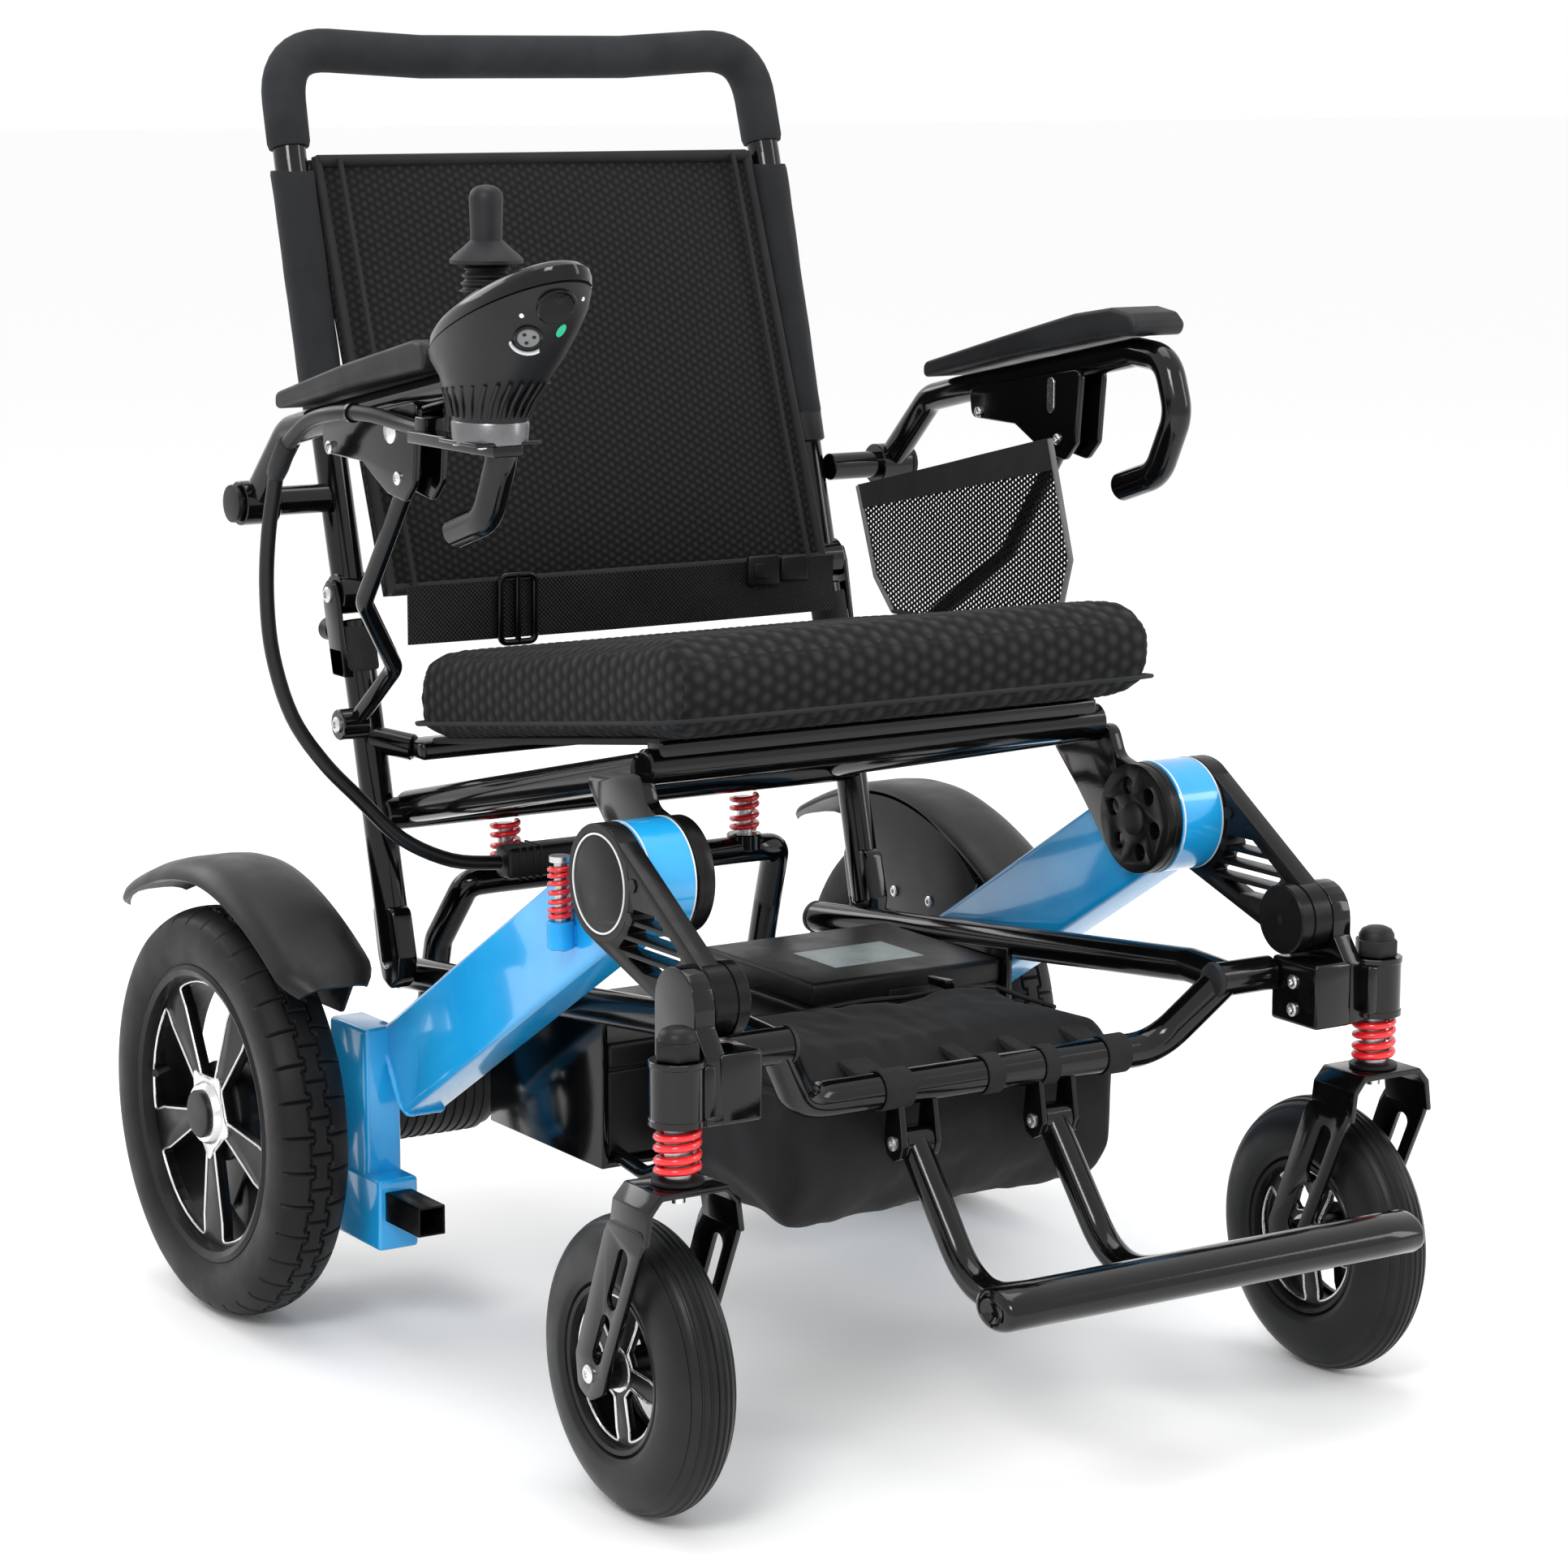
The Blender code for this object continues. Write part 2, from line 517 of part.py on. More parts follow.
def joystick():
    x, tilt = STICK_X, radians(20)
    slices = [(x - 0.007, -0.099, 0.7060, 0.024, 0.028, 0),
              (x - 0.007, -0.100, 0.7180, 0.026, 0.032, radians(3)),
              (x - 0.003, -0.106, 0.7400, 0.035, 0.054, radians(11)),
              (x, -0.110, 0.7620, 0.0400, 0.082, radians(18)),
              (x, -0.112, 0.7760, 0.0395, 0.088, tilt),
              (x, -0.113, 0.7860, 0.034, 0.080, tilt),
              (x, -0.113, 0.7890, 0.028, 0.070, tilt)]
    body = loft(slices)
    foot = [box(x - 0.031, x + 0.018, -0.124, -0.072, 0.6900, 0.7070),
            box(x - 0.010, x + 0.0120, -0.110, 0.012, 0.6820, 0.6905),
            box(x - 0.004, x + 0.0125, -0.002, 0.012, 0.6820, 0.7000)]
    well = upright(x, STICK_Y, 0.0195, 0.772, 0.830, 16)
    panel = {"power_button": (-0.142, 0.0035), "horn_button": (-0.158, 0.0035)}
    holes = [well]
    for place, radius in panel.values():
        holes.append(button_shape(x, place, radius + 0.0004, -0.004, 0.012))
    solid("joystick_housing", "black_plastic", [body] + foot, holes, origin=(x, -0.095, 0.706))
    for name, (place, radius) in panel.items():
        solid(name, "black_plastic", [button_shape(x, place, radius, -0.0030, 0.0022)],
              origin=(x, place, panel_z(place)))
    boot = [upright(x, STICK_Y, 0.0060, 0.7765, 0.7890, 12), upright(x, STICK_Y, 0.0125, 0.7880, 0.8000, 16)]
    solid("joystick_boot", "rubber", boot, origin=(x, STICK_Y, STICK_PIVOT_Z))
    skirt = []
    for z, radius in ((0.8064, 0.0240), (0.8090, 0.0240), (0.8190, 0.0140), (0.8210, 0.0105),
                      (0.8480, 0.0112), (0.8540, 0.0090), (0.8572, 0.0040)):
        skirt.append([(x + radius * cos(2 * pi * i / 16), STICK_Y + radius * sin(2 * pi * i / 16), z)
                      for i in range(16)])
    solid("joystick_lever", "rubber", [skin(skirt)], origin=(x, STICK_Y, STICK_PIVOT_Z))


def panel_z(y):
    """Height of the joystick's tilted top face."""
    return 0.7890 - (y + 0.113) * sin(radians(20)) / cos(radians(20))


def button_shape(x, y, radius, low, high):
    tilt = Matrix.Rotation(radians(-20), 4, "X")
    place = Vector((x, y, panel_z(y)))
    rings = []
    turns = [2 * pi * i / 12 for i in range(12)]
    for height in (low, high):
        rings.append([place + tilt @ Vector((radius * cos(t), radius * sin(t), height)) for t in turns])
    return skin(rings)


# ---------------------------------------------------------------- rear unit

def side_beam(name, side):
    """Blue side beam: drum eye, sloping box beam and the block that carries motor and anti-tip bar."""
    along = Vector((cos(BEAM_SLOPE), -sin(BEAM_SLOPE)))
    up = Vector((sin(BEAM_SLOPE), cos(BEAM_SLOPE)))
    drum, end = Vector((DRUM_Y, DRUM_Z)), Vector((DRUM_Y, DRUM_Z)) + along * 0.392
    beam = [drum + up * BEAM_HALF, end + up * BEAM_HALF, end - up * BEAM_HALF, drum - up * BEAM_HALF]
    block = [(0.208, 0.238), (0.284, 0.232), (0.338, 0.205), (0.350, 0.155), (0.338, 0.115), (0.264, 0.0660),
             (0.206, 0.0660), (0.178, 0.150), (0.172, 0.180)]
    shapes = [disc(DRUM_Y, DRUM_Z, DRUM_R, side * BEAM_IN, side * BEAM_OUT, 28),
              prism([tuple(p) for p in beam], side * BEAM_IN, side * BEAM_OUT),
              prism(block, side * BLOCK_IN, side * BLOCK_OUT)]
    eye = (PIN_R + GAP) / cos(pi / PIN_SIDES)
    holes = [disc(DRUM_Y, DRUM_Z, eye, side * 0.200, side * 0.245, PIN_SIDES),
             disc(REAR_Y, REAR_R, 0.0190, side * 0.200, side * 0.265, 16),
             box(*sorted((side * (TIP_X - 0.0113), side * (TIP_X + 0.0113))), 0.150, 0.360, 0.0887, 0.1113)]
    return solid(name, "blue_paint", shapes, holes, origin=(side * 0.222, DRUM_Y, DRUM_Z))


def motor(name, side):
    """Motor inboard of the beam block, its neck through the block, gearbox and wheel shaft."""
    shapes = [disc(REAR_Y, REAR_R, 0.0420, side * 0.1100, side * (BLOCK_IN - 0.0005), 20),
              disc(REAR_Y, REAR_R, 0.0185, side * 0.2200, side * 0.2700, 16),
              disc(REAR_Y, REAR_R, 0.0550, side * (BLOCK_OUT + 0.0005), side * 0.2860, 20),
              disc(REAR_Y, REAR_R, 0.0085, side * 0.2800, side * 0.3380, 12)]
    return solid(name, "black_plastic", shapes, origin=(side * REAR_X, REAR_Y, REAR_R))


def rear_wheel(tag, side):
    x = side * REAR_X
    half = REAR_WIDTH / 2
    tyre = [(-0.026, 0.1135), (-half, 0.128), (-0.024, 0.147), (-0.011, REAR_R), (0.011, REAR_R),
            (0.024, 0.147), (half, 0.128), (0.026, 0.1135)]
    solid("rear_tyre_" + tag, "rubber", [turned([(x + a, r) for a, r in tyre], REAR_Y, REAR_R, 32)],
          origin=(x, REAR_Y, REAR_R))
    rim = [(-0.0290, 0.0090), (-0.0290, 0.0260), (-0.0040, 0.0300), (-0.0250, 0.1060),
           (-0.0250, 0.1120), (0.0250, 0.1120), (0.0250, 0.1060), (0.0110, 0.0300),
           (0.0220, 0.0260), (0.0220, 0.0090)]
    solid("rear_rim_" + tag, "rim_black", [turned([(x + side * a, r) for a, r in rim], REAR_Y, REAR_R, 24)],
          origin=(x, REAR_Y, REAR_R))


def fender(name, side):
    """Arched mudguard that flares at its ends, with a wall on its inner side."""
    rings = []
    count = 11
    first, last = radians(44), radians(143)
    for i in range(count):
        share = i / (count - 1)
        turn = first + (last - first) * share
        rise = 0.192 + 0.020 * abs(2 * share - 1) ** 3
        section = [(0.3480, -0.013), (0.3360, -0.003), (0.3160, 0), (0.2920, 0), (0.2740, -0.004),
                   (0.2740, -0.008), (0.2920, -0.004), (0.3160, -0.004), (0.3350, -0.007), (0.3455, -0.016)]
        rings.append([(side * x, REAR_Y + (rise + lift) * cos(turn), REAR_R + (rise + lift) * sin(turn))
                      for x, lift in section])
    wall = [(REAR_Y + 0.187 * cos(radians(a)), REAR_R + 0.187 * sin(radians(a))) for a in range(70, 136, 13)]
    wall += [(0.205, 0.245), (0.318, 0.245)]
    return solid(name, "black_plastic", [skin(rings), prism(wall, side * 0.2740, side * 0.2775)])


def rear_cross_frame():
    """Bent tube over the motors that carries the two buffer springs."""
    half = [(-0.150, REAR_Y, 0.2000), (-0.150, 0.290, 0.270), (-0.140, 0.262, 0.318), (-0.120, 0.258, 0.3195)]
    route = rounded(half + [(-x, y, z) for x, y, z in reversed(half)], 0.025)
    shapes = [sweep(route, 0.0110)]
    for side in (-1, 1):
        shapes += [box(*sorted((side * 0.136, side * 0.164)), 0.290, 0.326, 0.1975, 0.2040),
                   upright(side * 0.108, 0.259, 0.0140, 0.3195, 0.3325, 14)]
    solid("rear_cross_frame", "black_paint", shapes)


def buffer_spring(name, side):
    solid(name, "red_spring", [coil(side * 0.108, 0.259, 0.3330, 0.3648, 0.0100, 0.0022, 3.5)])


def anti_tip(tag, side):
    x = side * TIP_X
    bar = box(x - 0.0110, x + 0.0110, 0.127, 0.430, 0.0890, 0.1110)
    ear = [(0.400, 0.109), (0.400, 0.091), (0.436, 0.040), (0.4525, 0.0330), (0.4650, 0.040), (0.4660, 0.052),
           (0.440, 0.095), (0.428, 0.109)]
    ears = [prism(ear, x + edge * 0.0106, x + edge * 0.0140) for edge in (-1, 1)]
    hub = disc(0.4525, 0.0450, 0.0045, x - 0.0140, x + 0.0140, 10)
    solid("anti_tip_bar_" + tag, "black_paint", [bar, hub] + ears)
    wheel = [(-0.0095, 0.0048), (-0.0095, 0.0330), (-0.0075, 0.0350), (0.0075, 0.0350), (0.0095, 0.0330),
             (0.0095, 0.0048)]
    solid("anti_tip_wheel_" + tag, "rubber", [turned([(x + a, r) for a, r in wheel], 0.4525, 0.0450, 24)],
          origin=(x, 0.4525, 0.0450))


# ---------------------------------------------------------------- joystick cable

ARM_CABLE = [(-0.3045, 0.0126, 0.6900), (-0.3055, 0.0400, 0.6920), (-0.3110, 0.0800, 0.6960),
             (-0.3165, 0.1200, 0.6940), (-0.3180, 0.1600, 0.6850), (-0.3185, 0.1950, 0.6650)]
FRAME_CABLE = [(-0.3186, 0.2110, 0.6450), (-0.3190, 0.2250, 0.6000), (-0.3180, 0.2320, 0.5550),
               (-0.3140, 0.2320, 0.5100), (-0.3020, 0.2270, 0.4650), (-0.2800, 0.2220, 0.4300),
               (-0.2520, 0.2190, 0.4000), (-0.2200, 0.2150, 0.3680), (-0.1800, 0.2120, 0.3480),
               (-0.1400, 0.2110, 0.3420)]


def cable(name, points):
    curve = bpy.data.curves.new(name, "CURVE")
    curve.dimensions = "3D"
    curve.bevel_depth = 0.0055
    curve.bevel_resolution = 2
    curve.use_fill_caps = True
    route = smooth_route(points, 2)
    spline = curve.splines.new("POLY")
    spline.points.add(len(route) - 1)
    for place, point in zip(spline.points, route):
        place.co = (*point, 1)
    curve.materials.append(material("cable_black"))
    obj = bpy.data.objects.new(name, curve)
    bpy.context.collection.objects.link(obj)


def plug():
    solid("cable_plug", "black_plastic",
          [box(-0.1375, -0.0550, 0.1990, 0.2230, 0.3300, 0.3540)])


clear_scene()
seat_frame()
seat_cushion()
lower_frame()
footrest()
batteries()
storage_bag()
back_frame()
backrest()
lap_belt()
mesh_pocket()
joystick()
rear_cross_frame()
cable("joystick_cable", ARM_CABLE)
cable("frame_cable", FRAME_CABLE)
plug()
for tag, side in (("R", -1), ("L", 1)):
    truss_arm("truss_arm_" + tag, side)
    caster_block("caster_block_" + tag, side)
    caster(tag, side)
    arm(tag, side)
    side_beam("side_beam_" + tag, side)
    motor("motor_" + tag, side)
    rear_wheel(tag, side)
    fender("fender_" + tag, side)
    buffer_spring("buffer_spring_" + tag, side)
    anti_tip(tag, side)
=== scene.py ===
"""The looks of the folding power wheelchair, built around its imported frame.

Metres, +Z up. The occupant faces -Y, and the occupant's right side, with the joystick, is -X.
"""
import json
from math import cos, pi, radians, sin, tan

import bmesh
import bpy
from mathutils import Matrix, Vector, noise


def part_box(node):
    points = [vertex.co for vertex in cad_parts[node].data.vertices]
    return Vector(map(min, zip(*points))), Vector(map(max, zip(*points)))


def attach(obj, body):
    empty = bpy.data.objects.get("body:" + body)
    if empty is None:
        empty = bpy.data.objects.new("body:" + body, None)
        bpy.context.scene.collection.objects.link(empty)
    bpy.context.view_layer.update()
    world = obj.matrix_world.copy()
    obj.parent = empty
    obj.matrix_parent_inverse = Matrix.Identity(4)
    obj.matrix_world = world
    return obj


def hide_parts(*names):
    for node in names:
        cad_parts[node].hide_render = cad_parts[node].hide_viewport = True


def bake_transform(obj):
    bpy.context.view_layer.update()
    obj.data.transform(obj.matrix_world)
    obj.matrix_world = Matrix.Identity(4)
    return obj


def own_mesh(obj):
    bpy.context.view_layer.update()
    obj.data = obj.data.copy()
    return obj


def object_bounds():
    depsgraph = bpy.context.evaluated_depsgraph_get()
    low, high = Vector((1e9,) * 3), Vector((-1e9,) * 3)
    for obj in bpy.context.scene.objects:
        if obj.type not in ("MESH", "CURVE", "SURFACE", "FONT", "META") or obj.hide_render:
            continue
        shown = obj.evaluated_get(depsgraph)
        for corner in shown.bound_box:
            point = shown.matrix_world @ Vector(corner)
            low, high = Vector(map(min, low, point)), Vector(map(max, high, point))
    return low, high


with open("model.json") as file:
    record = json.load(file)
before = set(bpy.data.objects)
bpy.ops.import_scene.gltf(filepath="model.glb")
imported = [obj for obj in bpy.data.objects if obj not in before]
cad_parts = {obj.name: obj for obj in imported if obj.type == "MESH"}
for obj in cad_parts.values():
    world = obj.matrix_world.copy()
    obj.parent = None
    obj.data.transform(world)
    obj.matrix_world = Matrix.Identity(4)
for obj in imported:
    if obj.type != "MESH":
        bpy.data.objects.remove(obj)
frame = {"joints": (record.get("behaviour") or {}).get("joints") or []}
cad_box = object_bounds()
PIVOT = {j["name"]: Vector(j.get("pos_m") or (0, 0, 0)) for j in frame["joints"]}
SIDES = (("R", -1), ("L", 1))
MATERIALS = {}


# ---------------------------------------------------------------- camera, light and floor

def make_camera():
    data = bpy.data.cameras.new("camera")
    data.lens = 96.0
    data.sensor_width = 36.0
    data.clip_end = 200
    camera = linked("camera", data)
    camera.location = (-1.6333, -2.4902, 0.9484)
    camera.rotation_euler = (radians(79.95), radians(-0.18), radians(-32.87))
    bpy.context.scene.camera = camera


def area_light(name, place, aim, size, power):
    data = bpy.data.lights.new(name, "AREA")
    data.shape = "RECTANGLE"
    data.size, data.size_y = size
    data.energy = power
    lamp = linked(name, data)
    lamp.location = place
    lamp.rotation_euler = (Vector(aim) - Vector(place)).to_track_quat("-Z", "Y").to_euler()


def make_stage():
    world = bpy.data.worlds.new("studio")
    bpy.context.scene.world = world
    world.use_nodes = True
    world.node_tree.nodes["Background"].inputs["Color"].default_value = (1.0, 1.0, 1.0, 1)
    world.node_tree.nodes["Background"].inputs["Strength"].default_value = 1.0
    area_light("key", (-2.6, -2.2, 2.9), (0, 0, 0.5), (1.2, 1.2), 70)
    area_light("fill", (3.0, -2.4, 1.9), (0, 0, 0.4), (0.9, 2.0), 26)
    area_light("top", (0.2, 0.4, 3.6), (0, 0, 0.3), (2.2, 2.2), 40)
    area_light("back", (-1.2, 3.2, 2.2), (0, 0, 0.6), (2.4, 1.2), 26)
    mesh = bmesh.new()
    bmesh.ops.create_grid(mesh, x_segments=1, y_segments=1, size=40)
    floor = linked("floor", as_data("floor", mesh))
    floor.location.z = cad_box[0][2] - 0.0002
    floor.data.materials.append(finish("floor_paint", None, (0.97, 0.97, 0.97), 0.6)[0])
    bpy.context.scene.view_settings.view_transform = "Standard"
    bpy.context.scene.view_settings.look = "None"


# ---------------------------------------------------------------- materials

def finish(name, slot, colour, rough, metal=0.0, coat=0.0, sheen=0.0, shine=0.5):
    mat = bpy.data.materials.new(name)
    mat.use_nodes = True
    shader = mat.node_tree.nodes["Principled BSDF"]
    shader.inputs["Base Color"].default_value = (*colour, 1)
    shader.inputs["Roughness"].default_value = rough
    shader.inputs["Metallic"].default_value = metal
    shader.inputs["Coat Weight"].default_value = coat
    shader.inputs["Coat Roughness"].default_value = 0.06
    shader.inputs["Specular IOR Level"].default_value = shine
    shader.inputs["Sheen Weight"].default_value = sheen
    MATERIALS[name] = mat
    return mat, shader


def node(mat, kind, inputs=(), **settings):
    """Add a node. inputs pairs an input's name or number with a value or a socket."""
    made = mat.node_tree.nodes.new(kind)
    for key, value in settings.items():
        setattr(made, key, value)
    for key, value in dict(inputs).items():
        if isinstance(value, bpy.types.NodeSocket):
            mat.node_tree.links.new(value, made.inputs[key])
        else:
            made.inputs[key].default_value = value
    return made


def math(mat, operation, a, b=0.0):
    return node(mat, "ShaderNodeMath", {0: a, 1: b}, operation=operation).outputs[0]


def place_of(mat):
    return node(mat, "ShaderNodeTexCoord").outputs["Object"]


def grain(mat, scale, detail=4.0, rough=0.55, vector=None):
    made = node(mat, "ShaderNodeTexNoise", {"Vector": vector or place_of(mat), "Scale": scale,
                                            "Detail": detail, "Roughness": rough})
    return made.outputs["Fac"]


def remap(mat, value, low, high, to_low, to_high):
    made = node(mat, "ShaderNodeMapRange", {"Value": value, "From Min": low, "From Max": high,
                                            "To Min": to_low, "To Max": to_high})
    return made.outputs["Result"]


def tint(mat, shader, value, low, high):
    """Base colour from low to high as value goes from 0 to 1."""
    mix = node(mat, "ShaderNodeMix", {0: value, 6: (*low, 1), 7: (*high, 1)}, data_type="RGBA")
    mat.node_tree.links.new(mix.outputs[2], shader.inputs["Base Color"])


def relief(mat, shader, *layers):
    """Bump from (height, strength, distance) layers."""
    normal = None
    for height, strength, distance in layers:
        inputs = {"Height": height, "Strength": strength, "Distance": distance}
        if normal:
            inputs["Normal"] = normal
        normal = node(mat, "ShaderNodeBump", inputs).outputs["Normal"]
    mat.node_tree.links.new(normal, shader.inputs["Normal"])
    return normal


def rough_from(mat, shader, value):
    mat.node_tree.links.new(value, shader.inputs["Roughness"])


def painted(name, slot, dark, light, rough, coat, shine=0.5):
    """Paint or powder coat with a faint orange peel and patchy gloss."""
    mat, shader = finish(name, slot, light, rough, coat=coat, shine=shine)
    patch = remap(mat, grain(mat, 14.0), 0.35, 0.65, 0.0, 1.0)
    tint(mat, shader, patch, dark, light)
    rough_from(mat, shader, remap(mat, grain(mat, 60.0), 0.3, 0.7, rough * 0.8, rough * 1.25))
    relief(mat, shader, (grain(mat, 420.0, 2.0), 0.05, 0.0006))


def moulded(name, slot, colour, rough, size=1500.0, strength=0.22, shine=0.28):
    """Moulded plastic or rubber with a fine spark-eroded grain and rubbed patches."""
    mat, shader = finish(name, slot, colour, rough, shine=shine)
    light = tuple(c * 1.5 + 0.002 for c in colour)
    tint(mat, shader, remap(mat, grain(mat, 22.0), 0.35, 0.7, 0.0, 1.0), colour, light)
    rough_from(mat, shader, remap(mat, grain(mat, 35.0), 0.3, 0.7, rough - 0.07, min(1.0, rough + 0.07)))
    relief(mat, shader, (grain(mat, size, 3.0, 0.6), strength, 0.0004))


def metal(name, slot, colour, rough):
    mat, shader = finish(name, slot, colour, rough, 1.0)
    streak = node(mat, "ShaderNodeMapping", {"Vector": place_of(mat), "Scale": (60.0, 900.0, 900.0)})
    lines = grain(mat, 1.0, 3.0, 0.6, streak.outputs["Vector"])
    rough_from(mat, shader, remap(mat, lines, 0.3, 0.7, rough * 0.75, rough * 1.4))
    tint(mat, shader, remap(mat, grain(mat, 40.0), 0.3, 0.7, 0.0, 1.0), tuple(c * 0.85 for c in colour),
         colour)


def flat_place(mat):
    """Two coordinates along the cloth, picked from the side that the surface faces."""
    where = node(mat, "ShaderNodeTexCoord")
    at = node(mat, "ShaderNodeSeparateXYZ", {"Vector": where.outputs["Object"]}).outputs
    faces = node(mat, "ShaderNodeSeparateXYZ", {"Vector": where.outputs["Normal"]}).outputs
    top = math(mat, "GREATER_THAN", math(mat, "ABSOLUTE", faces["Z"]), 0.72)
    side = math(mat, "GREATER_THAN", math(mat, "ABSOLUTE", faces["X"]), 0.72)
    u = math(mat, "ADD", math(mat, "MULTIPLY", at["X"], math(mat, "SUBTRACT", 1.0, side)),
             math(mat, "MULTIPLY", at["Y"], side))
    v = math(mat, "ADD", math(mat, "MULTIPLY", at["Z"], math(mat, "SUBTRACT", 1.0, top)),
             math(mat, "MULTIPLY", at["Y"], top))
    return node(mat, "ShaderNodeCombineXYZ", {"X": u, "Y": v}).outputs["Vector"]


def lattice(mat, place, pitch):
    """Peaks on a triangular lattice with that pitch: 1 on a peak, near 0 between."""
    total = None
    for angle in (0, 60, 120):
        wave = 2 * pi / (pitch * sin(radians(60)))
        axis = (wave * cos(radians(angle)), wave * sin(radians(angle)), 0)
        along = node(mat, "ShaderNodeVectorMath", {0: place, 1: axis},
                     operation="DOT_PRODUCT").outputs["Value"]
        term = math(mat, "COSINE", along)
        total = term if total is None else math(mat, "ADD", total, term)
    return remap(mat, total, -1.5, 3.0, 0.0, 1.0)


def spacer_mesh(name, slot, cell, hole, dark, light):
    """Knitted spacer mesh: raised cells ringed by small open holes."""
    mat, shader = finish(name, slot, light, 0.85, sheen=0.03, shine=0.25)
    shader.inputs["Sheen Roughness"].default_value = 0.5
    place = flat_place(mat)
    cells = lattice(mat, place, cell)
    holes = lattice(mat, place, hole)
    open_hole = math(mat, "MULTIPLY", math(mat, "GREATER_THAN", holes, 0.62),
                     math(mat, "LESS_THAN", cells, 0.34))
    lift = math(mat, "SUBTRACT", cells, math(mat, "MULTIPLY", open_hole, 0.7))
    yarn = grain(mat, 2600.0, 2.0)
    # Painted shade: the raised cells are lighter, and the hollows between them and the open holes darker,
    # following the same heights as the bump.
    tint(mat, shader, math(mat, "MULTIPLY", cells, math(mat, "SUBTRACT", 1.0, open_hole)), dark, light)
    relief(mat, shader, (lift, 0.55, 0.0022), (holes, 0.25, 0.0006), (yarn, 0.3, 0.0004))


def woven(name, slot, dark, light, pitch, strength=0.35, rough=0.72):
    """Plain weave: crossed yarns of that pitch."""
    mat, shader = finish(name, slot, light, rough, sheen=0.03, shine=0.25)
    at = node(mat, "ShaderNodeSeparateXYZ", {"Vector": flat_place(mat)}).outputs
    warp = math(mat, "SINE", math(mat, "MULTIPLY", at["X"], 2 * pi / pitch))
    weft = math(mat, "SINE", math(mat, "MULTIPLY", at["Y"], 2 * pi / pitch))
    cloth = remap(mat, math(mat, "MULTIPLY", warp, weft), -1.0, 1.0, 0.0, 1.0)
    # Painted shade: the yarn tops are lighter and the weave's low spots darker, following the same heights as
    # the bump, with random patches of tone on top.
    patch = math(mat, "MULTIPLY", cloth, remap(mat, grain(mat, 30.0), 0.3, 0.7, 0.5, 1.1))
    tint(mat, shader, patch, dark, light)
    relief(mat, shader, (grain(mat, 45.0), 0.25, 0.004), (cloth, strength, pitch * 0.5))


def open_net(name, slot, colour, pitch):
    """Netting with round see-through holes on a triangular lattice."""
    mat, shader = finish(name, slot, colour, 0.6, sheen=0.02, shine=0.2)
    holes = lattice(mat, flat_place(mat), pitch)
    thread = math(mat, "LESS_THAN", holes, 0.66)
    mat.node_tree.links.new(thread, shader.inputs["Alpha"])
    # Painted shade: the threads darken to half their colour toward each hole's rim.
    tint(mat, shader, remap(mat, holes, 0.0, 0.56, 0.0, 1.0), colour, tuple(c * 0.5 for c in colour))
    relief(mat, shader, (grain(mat, 2200.0, 2.0), 0.3, 0.0003))


